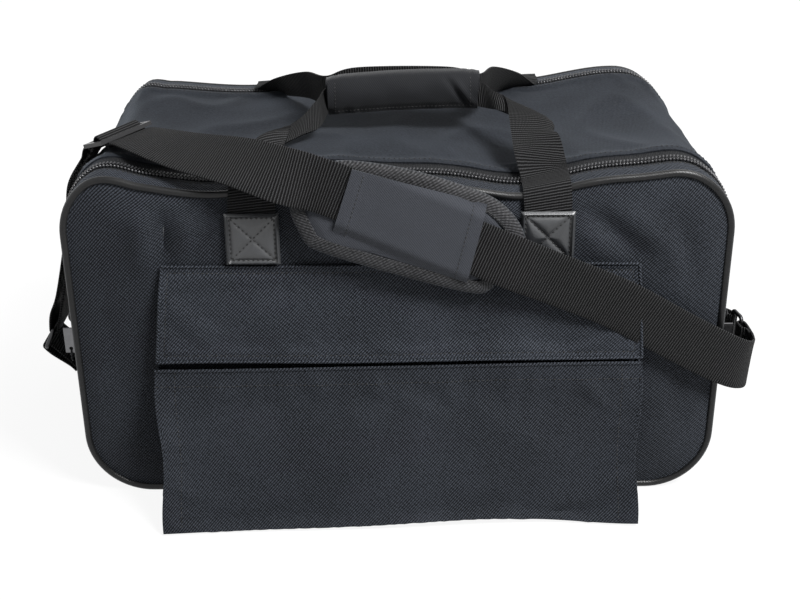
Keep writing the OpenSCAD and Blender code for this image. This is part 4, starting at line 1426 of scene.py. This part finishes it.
def leg_pairs(x, back):
    """Edge points of a handle's leg from its patch up to the top edge, inner edge first."""
    middle = leg_middle(x, back)
    inner, outer = middle - x * WEB_W / 2, middle + x * WEB_W / 2
    rows = [(WEB_Y, PATCH_LOW[2] + 2), (WEB_Y, PATCH_HIGH[2] - 6), (WEB_Y + 0.4, PATCH_HIGH[2] + 10)]
    found = []
    for away, height in rows:
        y = away if back else -away
        pair = np.array([[inner, y, height], [outer, y, height]])
        pair[:, 1] += np.sign(y) * relief(pair[:, 0], pair[:, 2])
        pair[:, 2] -= dip(pair[:, 0], pair[:, 1]) * smooth(BAG_H - 62, BAG_H - 6, pair[:, 2])
        found.append(pair)
    for away, height in ((HALF_D - 1.0, BAG_H + 0.6), (HALF_D - 13, BAG_H + 2.4), (HALF_D - 26, BAG_H + 3.6)):
        y = away if back else -away
        pair = np.array([[inner - x, y, height], [outer - x, y, height]])
        pair[:, 2] -= dip(pair[:, 0], pair[:, 1]) + shoulder(pair[:, 1])
        found.append(pair)
    return found


# The way of each leg from the top edge to the grip: inner edge, a point of the fold's crest, outer edge
FRONT_LEFT = [
    [[-98, -106, 299], [-138, -114, 296]], [[-93.5, -88, 303.5], [-131, -106, 303]],
    [[-92.3, -70, 307], [-113, -88, 309.5], [-119, -98, 300]],
    [[-91.5, -60, 308.5], [-101, -75, 309], [-106, -88, 299]],
    [[-89, -54, 309.5], [-93, -66, 305.5], [-96, -80, 299.5]],
    [[-80, -42, 314], [-82, -62, 301.5]], [[-69, -24, 323], [-67, -46, 304]],
    [[-60, -8, 330], [-58, -10, 311]],
]
FRONT_RIGHT = [
    [[97, -108, 300], [138, -118, 298]], [[96, -92, 308], [117, -97, 310.5], [133.5, -101, 313]],
    [[95.8, -66, 317], [128, -82, 318.5], [124, -86, 310]],
    [[95.6, -47, 323], [115, -61, 322], [109, -66, 314]],
    [[93, -34, 327], [100, -44, 322], [98, -54, 316.5]], [[85, -25, 329.5], [88, -44, 317.5]],
    [[73, -10, 333.5], [75, -22, 314]],
]
BACK_LEFT = [
    [[-103, 112, 292], [-137, 112, 297]], [[-104, 84, 297], [-116, 92, 312]],
    [[-80, 50, 303], [-86, 60, 326]], [[-62, 16, 305], [-64, 17, 333]],
]
BACK_RIGHT = [
    [[103, 112, 293], [136, 112, 299]], [[98, 84, 300], [118, 92, 315]],
    [[86, 50, 306], [91, 54, 331]], [[73, 16, 306], [75, 17, 334]],
]


def make_handles():
    """Both carry handles, one length of webbing each from patch to patch."""
    x, y, z = GRIP_MID
    rest = y + GRIP_SIZE[1] / 2 + 1.5
    crest = GRIP_SIZE[2] / 2 + 1.5
    through = [[[x + k, y - 2, z + 9], [x + k, y, z - 9]] for k in (-40, 40)]
    behind = [[[x + k, rest, z - 17], [x + k, rest, z + crest]] for k in (-40, 40)]
    front = leg_pairs(-1, False) + FRONT_LEFT + through + FRONT_RIGHT[::-1] + leg_pairs(1, False)[::-1]
    back = leg_pairs(-1, True) + BACK_LEFT + behind + BACK_RIGHT[::-1] + leg_pairs(1, True)[::-1]
    for name, pairs in (("front", front), ("back", back)):
        sewn = Sewn(name + "_handle_web")
        strip(sewn, pairs, WEB_T, "ribbed_webbing")
        sew_on(sewn.make(sharp=70), name + "_door", [name + "_handle"])


def grip_bow(place):
    """How far the grip rises along its length, from -0.5 to 0.5."""
    return 1.6 - 6.4 * place ** 2 + 5.5 * place


def make_grip():
    """The padded wrap round the front handle and the flap that closes it."""
    sewn = Sewn("grip_cushion")
    places = np.linspace(-0.5, 0.5, 61)
    turns = np.linspace(0, 2 * math.pi, 49)[:-1]
    half_y, half_z = GRIP_SIZE[1] / 2, GRIP_SIZE[2] / 2
    grid = np.zeros((len(places), len(turns), 3))
    for i, place in enumerate(places):
        pinch = 1 - 0.1 * math.exp(-((0.5 - abs(place)) * GRIP_SIZE[0] / 5.0) ** 2)
        pinch -= 0.05 * math.exp(-(((0.5 - abs(place)) * GRIP_SIZE[0] - 9) / 1.8) ** 2)
        power = 0.62
        c, s = np.cos(turns), np.sin(turns)
        grid[i, :, 0] = GRIP_MID[0] + place * GRIP_SIZE[0]
        grid[i, :, 1] = GRIP_MID[1] + half_y * pinch * np.sign(c) * np.abs(c) ** power
        grid[i, :, 2] = GRIP_MID[2] + grip_bow(place) + half_z * pinch * np.sign(s) * np.abs(s) ** power
    lumps = cloud(grid.reshape(-1, 3), 22.0, 21).reshape(grid.shape[:2])
    middle = np.array([0, GRIP_MID[1], GRIP_MID[2]])
    way = unit((grid - middle) * [0, 1, 1])
    grid = grid + way * (0.6 * lumps - 0.2)[:, :, None]
    size = grid.shape[0] * grid.shape[1]
    inner = grid + (middle - grid) * [0, 0.3, 0.3]
    faces = grid_faces(len(places), len(turns), wrap_columns=True, flip=True)
    faces += grid_faces(len(places), len(turns), wrap_columns=True, start=size)
    for row in (0, len(places) - 1):
        for j in range(len(turns)):
            a, b = row * len(turns) + j, row * len(turns) + (j + 1) % len(turns)
            face = [a, b, b + size, a + size]
            faces.append(face[::-1] if row else face)
    points = np.concatenate([grid.reshape(-1, 3), inner.reshape(-1, 3)])
    sewn.add(points, faces, np.zeros((2 * size, 2)), "grip_cloth")
    for row in (4, len(places) - 5):
        ring = np.concatenate([grid[row], grid[row, :1]])
        out = np.concatenate([way[row], way[row, :1]])
        stitches(sewn, ring + out * 0.1, out, pitch=3.4)
    sew_on(sewn.make(), "front_door", ["grip_wrap"])

    flap = Sewn("grip_closing_flap")
    low_z, high_z = low("grip_flap")[2], high("grip_flap")[2]
    outer_y = low("grip_flap")[1]
    columns = np.linspace(low("grip_flap")[0] + 1, high("grip_flap")[0] - 1, 61)
    shares = np.linspace(0, 1, 21)
    x, share = np.meshgrid(columns, shares)
    place = (x - GRIP_MID[0]) / GRIP_SIZE[0]
    z = high_z - 0.5 + (low_z - high_z + 0.5) * share + grip_bow(place)
    y = outer_y + 0.6 + 0.5 * np.sin(x / 17.0) * share + 1.3 * (1 - share) ** 4
    y = y - 4.2 * np.sin(math.pi * share ** 0.85) + 1.4 * smooth(0.75, 1.0, share)
    slant = place - 0.27 - 0.16 * share
    fold = 2.2 * np.exp(-((slant / 0.022) ** 2)) - 2.0 * np.exp(-(((slant - 0.05) / 0.026) ** 2))
    y = y + fold * np.sin(math.pi * share)
    y = y + 0.7 * np.sin(x / 2.6) * smooth(0.6, 0.95, share) * smooth(-0.2, -0.34, place)
    lumps = cloud(np.stack([x, y, z], axis=2).reshape(-1, 3), 16.0, 23).reshape(x.shape)
    grid = np.stack([x, y - 0.9 * lumps, z], axis=2)
    ridge = np.exp(-((share - 0.88) / 0.04) ** 2) + np.exp(-((np.abs(x - GRIP_MID[0]) - 60) / 1.5) ** 2)
    grid[:, :, 1] += 0.4 * np.minimum(ridge, 1)
    normal = cloth(flap, grid, np.stack([x, z], axis=2), GRIP_FLAP_T, "grip_cloth", (0, -FAR, 320))
    stitches(flap, grid[18, 2:-2] + normal[18, 2:-2] * 0.1, normal[18, 2:-2], pitch=3.4)
    for column in (3, -4):
        stitches(flap, grid[1:19, column] + normal[1:19, column] * 0.1, normal[1:19, column], pitch=3.4)
    made = sew_on(flap.make(), "grip_flap", ["grip_flap"])


# Shoulder strap, in the pad's own plane and then over the bag

PAD_TILT = math.radians(4)
PAD_UP = np.array([0, math.sin(PAD_TILT), math.cos(PAD_TILT)])
PAD_OUT = np.array([0, -math.cos(PAD_TILT), math.sin(PAD_TILT)])
PAD_AT = np.array([0.0, -HALF_D - 7 - PAD_T, BAG_H - 45])
PAD_EDGE = [[-82, 17], [-80, 27], [-56, 50], [-46, 53], [-33, 53], [12, 46], [64, 28], [78, 21], [92, 8],
            [99, -6], [97, -12], [78, -45], [70, -50], [57, -52], [-62, -16], [-71, -8], [-79, 7]]
SLEEVE_EDGE = [[-35, 51], [71, 20.5], [56, -42], [-53.5, -6]]
# Section of the tape folded over the pad's edge: inward from the edge, and out from the pad's middle
BINDING = [(-3.5, 0), (-2.9, 3.2), (-0.6, 5.1), (4, 5.7), (8.6, 5.7), (9, 5), (9, -5), (8.6, -5.7), (4, -5.7),
           (-0.6, -5.1), (-2.9, -3.2)]
STRAP_OUT = WEB_T / 2 + 0.5
STRAP_SLOPE = np.array([0.371, 0, 0]) + PAD_UP * 0.928


def on_pad(x, up, out=0.0):
    """A point on the pad's front plane, or standing off it."""
    return PAD_AT + np.array([x, 0, 0]) + PAD_UP * up + PAD_OUT * out


def pad_points(plan, out):
    """Points of the pad's plane with their heights."""
    return PAD_AT + plan[..., :1] * [1.0, 0, 0] + plan[..., 1:2] * PAD_UP + out[..., None] * PAD_OUT


def make_pad():
    """The pad: a crowned cushion, its binding and the sleeve that holds the webbing."""
    edge = curve(PAD_EDGE, 8, closed=True)
    for _ in range(24):
        edge = (np.roll(edge, 1, 0) + 2 * edge + np.roll(edge, -1, 0)) / 4
    middle = np.array([8.0, 2.0])
    rings = np.linspace(0, 1, 26)
    plan = edge[None] + (middle - edge)[None] * (rings ** 1.1)[:, None, None] * 0.985
    inward = np.linalg.norm(plan - edge[None], axis=2)
    crown = PAD_T * 0.5 * (1 - np.exp(-inward / 7.0)) + 0.4
    spread = np.concatenate([plan, plan[..., :1] * 0], axis=2).reshape(-1, 3)
    lumps = cloud(spread, 26.0, 31).reshape(crown.shape)
    groove = 1.2 * np.exp(-(((inward - 10.5) / 2.0) ** 2))
    front = pad_points(plan, -PAD_T / 2 + crown * 0.98 + 0.3 * lumps * smooth(4, 16, inward) - groove)
    back = pad_points(plan, -PAD_T / 2 - crown * 0.9)
    size = front.shape[0] * front.shape[1]
    columns = front.shape[1]
    faces = grid_faces(len(rings), columns, wrap_columns=True, flip=True)
    faces += grid_faces(len(rings), columns, wrap_columns=True, start=size)
    for j in range(columns):
        faces.append([(j + 1) % columns, j, j + size, (j + 1) % columns + size])
    faces.append([(len(rings) - 1) * columns + j for j in range(columns)][::-1])
    faces.append([size + (len(rings) - 1) * columns + j for j in range(columns)])
    sewn = Sewn("shoulder_cushion")
    points = np.concatenate([front.reshape(-1, 3), back.reshape(-1, 3)])
    sewn.add(points, faces, np.zeros((2 * size, 2)), "pad_cloth")
    bend_with_flap(sewn.make(), 4, 20, ["shoulder_pad"], "padding")

    bound = Sewn("pad_edge_binding")
    path = pad_points(edge, np.full(len(edge), -PAD_T / 2))
    run = unit(np.roll(path, -1, 0) - np.roll(path, 1, 0))
    normal = np.tile(PAD_OUT, (len(path), 1))
    side = unit(np.cross(run, normal))
    sweep(bound, path, side, normal, BINDING, "binding", closed=True)
    row = path + side * 7.4 + normal * 5.75
    stitches(bound, np.concatenate([row, row[:1]]), PAD_OUT, pitch=3.6)
    bend_with_flap(bound.make(), 4, 20, ["pad_binding"], "trim")

    cover = Sewn("pad_cover_sleeve")
    corners = np.array(SLEEVE_EDGE, float)
    drawn = -0.02 * (corners[[3, 2, 1, 0]] - corners)
    corners = corners + drawn
    u, v = np.meshgrid(np.linspace(0, 1, 45), np.linspace(0, 1, 33))
    bottom = corners[3] + (corners[2] - corners[3]) * u[..., None]
    top = corners[0] + (corners[1] - corners[0]) * u[..., None]
    plan = bottom + (top - bottom) * v[..., None]
    webbed = np.abs(plan[..., 1] - 13.8 + 0.4346 * plan[..., 0]) * 0.917
    rise = WEB_T + 1.9 - 5.2 * smooth(23, 35, webbed)
    hem = np.exp(-((u * 112 - 11) / 1.2) ** 2) + np.exp(-(((1 - u) * 112 - 11) / 1.2) ** 2)
    soft = cloud(np.concatenate([plan, plan[..., :1] * 0], axis=2).reshape(-1, 3), 30.0, 33).reshape(u.shape)
    turned = smooth(11.5, 10.5, np.minimum(u, 1 - u) * 112)
    rise = rise + 0.5 * soft * np.sin(math.pi * v) - 0.6 * hem + 0.6 * turned
    grid = pad_points(plan, rise + 0.4)
    normal = cloth(cover, grid, plan, SLEEVE_T, "pad_cloth", (0, -FAR, 255))
    for column in (4, -5):
        stitches(cover, grid[1:-1, column] + PAD_OUT * 0.15, normal[1:-1, column], pitch=3.6)
    made = bend_with_flap(cover.make(), 4, 20, ["pad_sleeve"], "padding")


JOIN_LEFT = np.array([-126, -HALF_D - 3, BAG_H + 9])
JOIN_RIGHT = np.array([END_X + 5, -HALF_D - 8, 131])
SIDE_LEFT = [0.37, 0.68, 0.62]
SIDE_RIGHT = [0.42, 0.05, 0.9]
FOLD_R = WIRE_R + 0.4 + WEB_T / 2
RING_RISE = 18.0
GLIDE_FALL = math.radians(22)
GLIDE_RUN = np.array([-0.8 * math.cos(GLIDE_FALL), 0.6, -0.8 * math.sin(GLIDE_FALL)])
GLIDE_SIDE = np.array([0.6, 0.79, 0.08])
GLIDE_WAVE = 5.0


def over_corner(turn, y, gap):
    """A point over the top left corner, from its turn off straight up, its y and its gap to the band."""
    turn = math.radians(turn)
    reach = CORNER_R + gap
    return np.array([CORNER_R - END_X - reach * math.sin(turn), y, BAG_H - CORNER_R + reach * math.cos(turn)])


def ring_bars(side):
    """The near and the far bar of a strap ring, from its joint."""
    near = np.array(joint(side + "_ring_swing")["pos_m"]) * MM
    if side == "left":
        lean = math.radians(25)
        return near, near + RING_RISE * np.array([math.sin(lean), 0, math.cos(lean)])
    lean = math.radians(10)
    return near, near + RING_RISE * np.array([math.sin(lean), -math.cos(lean), 0])


def fold_round(at, u, n, side, lead, back):
    """Webbing folded round a bar: out along u, round it, and back on the n side."""
    u, n = unit(u), unit(n)
    half = math.sqrt(0.5)
    return [
        [at - u * lead - n * FOLD_R, side],
        [at - n * FOLD_R, side],
        [at + (u - n) * FOLD_R * half, side],
        [at + u * FOLD_R, side],
        [at + (u + n) * FOLD_R * half, side],
        [at + n * FOLD_R, side],
        [at - u * 9 + n * (FOLD_R - 0.4), side],
        [at - u * (back - 8) - n * (FOLD_R - WEB_T - 0.6), side],
        [at - u * back - n * (FOLD_R - WEB_T - 0.5), side],
    ]


def strap_front_stations():
    """The strap from the left edge of the door over the pad to its right edge."""
    return [
        [JOIN_LEFT, SIDE_LEFT],
        [on_pad(-90, 48, STRAP_OUT + 3), [0.28, 0.44, 0.85]],
        [on_pad(-64, 40, STRAP_OUT + 1.4), STRAP_SLOPE],
        [on_pad(-44, 32.5, STRAP_OUT), STRAP_SLOPE],
        [on_pad(9, 10, STRAP_OUT), STRAP_SLOPE],
        [on_pad(62, -13.5, STRAP_OUT), STRAP_SLOPE],
        [on_pad(98, -29, STRAP_OUT), STRAP_SLOPE],
        [[128, -HALF_D - 18, 212], [0.42, 0, 0.91]],
        [[182, -HALF_D - 14, 187], [0.44, 0, 0.9]],
        [[237, -HALF_D - 12, 155], [0.45, 0, 0.9]],
        [JOIN_RIGHT, SIDE_RIGHT],
    ]


def left_tail_stations():
    """The strap from the left edge through the buckle, down the end and round the ring."""
    up = unit(np.cross(GLIDE_SIDE, GLIDE_RUN))
    up = up if up[2] > 0 else -up
    at = over_corner(14.5, -76, 10)
    far = ring_bars("left")[1]
    fold = fold_round(far, [-0.15, 0, -0.99], [0.99, 0, -0.15], [0, 1, 0], 14, 24)
    return [
        [JOIN_LEFT, SIDE_LEFT],
        [[-172, -HALF_D + 26, BAG_H + 9], [0.45, 0.8, 0.38]],
        [at - GLIDE_RUN * 20 - up * 4, GLIDE_SIDE],
        [at - GLIDE_RUN * 11 - up * GLIDE_WAVE, GLIDE_SIDE],
        [at + up * GLIDE_WAVE, GLIDE_SIDE],
        [at + GLIDE_RUN * 11 - up * GLIDE_WAVE, GLIDE_SIDE],
        [at + GLIDE_RUN * 20 - up, GLIDE_SIDE],
        [over_corner(45, -58.5, 8), [0.15, 0.98, 0.05]],
        [over_corner(70, -61, 8), [0.06, 1, 0]],
        [[-END_X - 9, -66, BAG_H - 60], [0, 1, 0]],
        [[-END_X - 15, -72, BAG_H - 95], [0, 1, 0]],
        [[-END_X - 24, -75, BAG_H - 132], [0, 1, 0]],
    ] + fold[:6] + [
        [[-END_X - 19, -75, BAG_H - 134], [0, 1, 0]],
        [[-END_X - 10.4, -72, BAG_H - 96], [0, 1, 0]],
        [[-END_X - 4.2, -66, BAG_H - 60], [0, 1, 0]],
        [over_corner(70, -61, 3.4), [0.06, 1, 0]],
        [over_corner(45, -58.5, 4.2), [0.1, 0.99, 0.03]],
        [over_corner(38, -59, 5.2), [0.1, 0.99, 0.03]],
    ]


def right_tail_stations():
    """The strap from the right edge round the corner to the right ring."""
    far = ring_bars("right")[1]
    return [
        [JOIN_RIGHT, SIDE_RIGHT],
        [[END_X + 24, -HALF_D + 6, 121], [0.16, 0.1, 0.98]],
        [[END_X + 31, -HALF_D + 24, 117.5], [0.04, 0, 1]],
    ] + fold_round(far, [-0.08, 1, 0], [-1, -0.08, 0], [0, 0, 1], 9, 21)


def make_strap():
    """The strap in stretches: the one over the pad rides on the front door, and the others stay where they
    are made.
    """
    left, front, right = left_tail_stations(), strap_front_stations(), right_tail_stations()
    whole = left[::-1] + front[1:] + right[1:]
    a = len(left) - 1
    b = a + len(front) - 1
    stretches = [
        ("strap_to_left_ring", 0, a - 7, ["bag_body", "left_ring"], [], a - 9, a - 11),
        ("strap_out_of_buckle", a - 7, a - 4, ["tri_glide", "bag_body"], [], a - 5, a - 7),
        ("strap_into_buckle", a - 4, a - 1, ["bag_body", "tri_glide"], [], a - 1, a - 3),
        ("strap_to_buckle", a - 1, a + 3, ["front_door", "bag_body"], ["strap_tail_left"], a, a - 1),
        ("strap_over_pad", a + 3, a + 6, ["front_door"], ["strap_front"], None, None),
        ("strap_onto_flap", a + 6, a + 8, ["front_door", "pocket_flap"], [], a + 6, a + 8),
        ("strap_off_flap", a + 8, b, ["pocket_flap", "front_door"], [], a + 8, b),
        ("strap_round_corner", b, b + 2, ["front_door", "bag_body"], ["strap_tail_right"], b, b + 2),
        ("strap_to_right_ring", b + 2, len(whole) - 1, ["bag_body", "right_ring"], [], b + 2, b + 4),
    ]
    for name, first, last, bodies, nodes, start, end in stretches:
        sewn = Sewn(name)
        ribbon(sewn, whole, STRAP_W, WEB_T, first, last)
        made = sewn.make()
        if start is None:
            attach(made, bodies[0])
        else:
            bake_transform(made)
        if nodes:
            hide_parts(*nodes)


def make_anchors():
    """Webbing loops on both ends that hold the strap rings."""
    near = ring_bars("left")[0]
    wall = -END_X - 0.3 - WEB_T / 2 - 1.2
    seam = [[wall, near[1], 48], [wall, near[1], 60], [wall - 1, near[1], 70]]
    left = [[spot, [0, 1, 0]] for spot in seam]
    left += fold_round(near, [-0.66, 0, 0.75], [-0.75, 0, -0.66], [0, 1, 0], 40, 34)
    near = ring_bars("right")[0]
    wall = END_X + 0.3 + WEB_T / 2 + 3.2
    seam = [[wall, -2, near[2]], [wall, -18, near[2]], [wall + 0.6, -32, near[2]]]
    right = [[spot, [0, 0, 1]] for spot in seam]
    right += fold_round(near, [0.46, -0.89, 0], [0.89, 0.46, 0], [0, 0, 1], 36, 30)
    for side, stations in (("left", left), ("right", right)):
        sewn = Sewn(side + "_anchor_loop")
        mids, sides = ribbon(sewn, stations, STRAP_W, WEB_T)
        out = np.array([-1.0 if side == "left" else 1.0, 0, 0])
        for shift in (-20, 20):
            row = mids[:14] + sides[:14] * shift + out * (WEB_T / 2 + 0.1)
            stitches(sewn, row, out, pitch=3.2)
        for k in (2, 12):
            row = mids[k] + sides[k] * np.linspace(-20, 20, 9)[:, None] + out * (WEB_T / 2 + 0.1)
            stitches(sewn, row, out, pitch=3.2)
        sew_on(sewn.make(), "bag_body", [side + "_anchor"])


# Hardware


def dress_hardware():
    """Finishes and worn edges on the construction model's own hard pieces, and cord loops on the pulls."""
    finishes = {"tri_glide": "gloss_plastic", "left_ring": "lacquered_metal", "right_ring": "lacquered_metal",
                "base_board": "stiff_board"}
    for end in ("front", "back"):
        for side in ("left", "right"):
            finishes[f"{end}_{side}_slider"] = "lacquered_metal"
            finishes[f"{end}_{side}_pull"] = "pull_metal"
    for name, finish in finishes.items():
        node = frame["nodes"][name]
        node.data.materials.clear()
        node.data.materials.append(FINISHES[finish])
        if "ring" not in name:
            worn = node.modifiers.new("worn_edges", "BEVEL")
            worn.width = 0.8 / MM if name == "tri_glide" else 0.35 / MM
            worn.segments = 2
            worn.limit_method = "ANGLE"
    for end in ("front", "back"):
        for side in ("left", "right"):
            name = f"{end}_{side}_pull"
            foot = low(name)
            hole = (foot + high(name)) / 2
            turns = np.linspace(0, 2 * math.pi, 25)[:-1]
            path = np.tile(hole, (len(turns), 1))
            path[:, 1] += 2.2 * np.sin(turns)
            path[:, 2] = foot[2] + 3.6 - 5.5 + 5.5 * np.cos(turns)
            sewn = Sewn(f"{end}_{side}_pull_cord")
            tube(sewn, path, 0.75, "binding", closed=True, sides=8)
            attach(sewn.make(), name)


# Stage


def point_at(place, target):
    """The turn that makes a lamp at a place look at a target."""
    return (Vector(target) - Vector(place)).to_track_quat("-Z", "Y")


def make_camera(scene):
    """The camera at the photograph's viewing angle."""
    camera = bpy.data.objects.new("camera", bpy.data.cameras.new("camera"))
    scene.collection.objects.link(camera)
    camera.data.lens = LENS
    camera.data.sensor_width = SENSOR
    back = Vector((0, -math.cos(CAMERA_RISE), math.sin(CAMERA_RISE)))
    camera.location = Vector(CAMERA_TARGET) + back * CAMERA_AWAY
    camera.rotation_mode = "QUATERNION"
    level = (-back).to_track_quat("-Z", "Y")
    camera.rotation_quaternion = level @ Quaternion((0, 0, 1), CAMERA_ROLL)
    scene.camera = camera


def make_light(scene):
    """Soft lamps, and a dim world that looks white where it is seen itself."""
    for name, place, size, power in LAMPS:
        lamp = bpy.data.lights.new(name, "AREA")
        lamp.size = size
        lamp.energy = power
        made = bpy.data.objects.new(name, lamp)
        made.location = place
        made.rotation_euler = point_at(place, LAMP_TARGET).to_euler()
        scene.collection.objects.link(made)
    world = bpy.data.worlds.new("studio")
    scene.world = world
    world.use_nodes = True
    sky = Wiring(world.node_tree)
    dim = sky.node("ShaderNodeBackground", sockets={"Color": SKY_TINT, "Strength": SKY_LIGHT})
    white = sky.node("ShaderNodeBackground", sockets={"Color": (1, 1, 1, 1)})
    mixed = sky.node("ShaderNodeMixShader", sockets={0: sky.pictured(), 1: dim, 2: white})
    sky.feed(sky.tree.nodes["World Output"].inputs[0], mixed)


def make_floor(scene):
    """A pale floor that keeps the bag's shadow."""
    mesh = bpy.data.meshes.new("floor")
    corners = [(-1, -1), (1, -1), (1, 1), (-1, 1)]
    mesh.from_pydata([(x * FLOOR_REACH, y * FLOOR_REACH, FLOOR_Z) for x, y in corners], [], [[0, 1, 2, 3]])
    floor = bpy.data.objects.new("floor", mesh)
    scene.collection.objects.link(floor)
    pale = Finish("pale_floor")
    pale.set(Base_Color=(FLOOR_GREY, FLOOR_GREY, FLOOR_GREY, 1.0), Roughness=0.9)
    grain = pale.noise(0.02, 3.0)
    pale.set(Normal=pale.bump(grain, 0.05))
    glow = pale.node("ShaderNodeEmission", sockets={"Strength": FLOOR_GLOW})
    x, y, _ = pale.place()
    away = (x * x + y * y) / FLOOR_FADE ** 2
    far = pale.node("ShaderNodeMath", {"operation": "MINIMUM"}, {0: away, 1: 1.0})
    share = pale.pictured() * (FLOOR_NEAR + FLOOR_FAR * far)
    surface = Value(pale, pale.shader.outputs[0])
    mixed = pale.node("ShaderNodeMixShader", sockets={0: share, 1: surface, 2: glow})
    pale.feed(pale.tree.nodes["Material Output"].inputs[0], mixed)
    mesh.materials.append(pale.material)


def make_stage():
    """Camera, soft lights and a pale floor."""
    scene = bpy.context.scene
    scene.view_settings.view_transform = "Standard"
    make_camera(scene)
    make_light(scene)
    make_floor(scene)


# Operators


class GIGBAG_OT_finishes(bpy.types.Operator):
    """Make the materials of the bag"""

    bl_idname = "gigbag.finishes"
    bl_label = "Materials"

    def execute(self, context):
        mix_finishes(context.scene.gig_bag_colours)
        return {"FINISHED"}


class GIGBAG_OT_band(bpy.types.Operator):
    """Sew the band over the top and the ends, and the base"""

    bl_idname = "gigbag.band"
    bl_label = "Band and base"

    def execute(self, context):
        make_band()
        return {"FINISHED"}


class GIGBAG_OT_edges(bpy.types.Operator):
    """Sew the rims, pipings and zips of both panels"""

    bl_idname = "gigbag.edges"
    bl_label = "Rims, pipings and zips"

    def execute(self, context):
        for side in ("front", "back"):
            make_rim(side)
            make_piping(side)
            make_zip(side)
        return {"FINISHED"}


class GIGBAG_OT_panels(bpy.types.Operator):
    """Sew both padded panels and the quilted lining"""

    bl_idname = "gigbag.panels"
    bl_label = "Panels and lining"

    def execute(self, context):
        for side in ("front", "back"):
            make_panel(side)
        make_lining()
        return {"FINISHED"}


class GIGBAG_OT_pocket(bpy.types.Operator):
    """Sew the front pouch and its flap"""

    bl_idname = "gigbag.pocket"
    bl_label = "Pocket"

    def execute(self, context):
        make_pouch()
        make_flap()
        return {"FINISHED"}


class GIGBAG_OT_handles(bpy.types.Operator):
    """Sew the carry handles, their patches and the grip"""

    bl_idname = "gigbag.handles"
    bl_label = "Handles and grip"

    def execute(self, context):
        for side in ("front", "back"):
            make_patches(side)
        make_handles()
        make_grip()
        return {"FINISHED"}


class GIGBAG_OT_strap(bpy.types.Operator):
    """Lay the shoulder strap with its pad and anchor loops"""

    bl_idname = "gigbag.strap"
    bl_label = "Shoulder strap"

    def execute(self, context):
        make_pad()
        make_strap()
        make_anchors()
        return {"FINISHED"}


class GIGBAG_OT_hardware(bpy.types.Operator):
    """Finish the sliders, pulls, rings, buckle and board"""

    bl_idname = "gigbag.hardware"
    bl_label = "Hardware"

    def execute(self, context):
        dress_hardware()
        return {"FINISHED"}


class GIGBAG_OT_stage(bpy.types.Operator):
    """Set the camera, the lights and the floor"""

    bl_idname = "gigbag.stage"
    bl_label = "Stage"

    def execute(self, context):
        make_stage()
        return {"FINISHED"}


OPERATORS = [GIGBAG_OT_finishes, GIGBAG_OT_stage, GIGBAG_OT_band, GIGBAG_OT_edges, GIGBAG_OT_panels,
             GIGBAG_OT_pocket, GIGBAG_OT_handles, GIGBAG_OT_strap, GIGBAG_OT_hardware]


class GIGBAG_PT_panel(bpy.types.Panel):
    """Lists the sizes, the colours and the steps"""

    bl_idname = "GIGBAG_PT_panel"
    bl_label = "Gig bag"
    bl_space_type = "VIEW_3D"
    bl_region_type = "UI"
    bl_category = "Gig bag"

    def draw(self, context):
        for group in (context.scene.gig_bag_sizes, context.scene.gig_bag_colours):
            for name in group.__annotations__:
                self.layout.prop(group, name)
        for operator in OPERATORS:
            self.layout.operator(operator.bl_idname)


CLASSES = [GigBagSizes, GigBagColours, *OPERATORS, GIGBAG_PT_panel]


def register():
    for item in CLASSES:
        bpy.utils.register_class(item)
    bpy.types.Scene.gig_bag_sizes = bpy.props.PointerProperty(type=GigBagSizes)
    bpy.types.Scene.gig_bag_colours = bpy.props.PointerProperty(type=GigBagColours)


def unregister():
    del bpy.types.Scene.gig_bag_colours
    del bpy.types.Scene.gig_bag_sizes
    for item in reversed(CLASSES):
        bpy.utils.unregister_class(item)


def main():
    """Registers the add-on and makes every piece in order."""
    register()
    for operator in OPERATORS:
        group, name = operator.bl_idname.split(".")
        getattr(getattr(bpy.ops, group), name)()


if __name__ == "__main__":
    main()
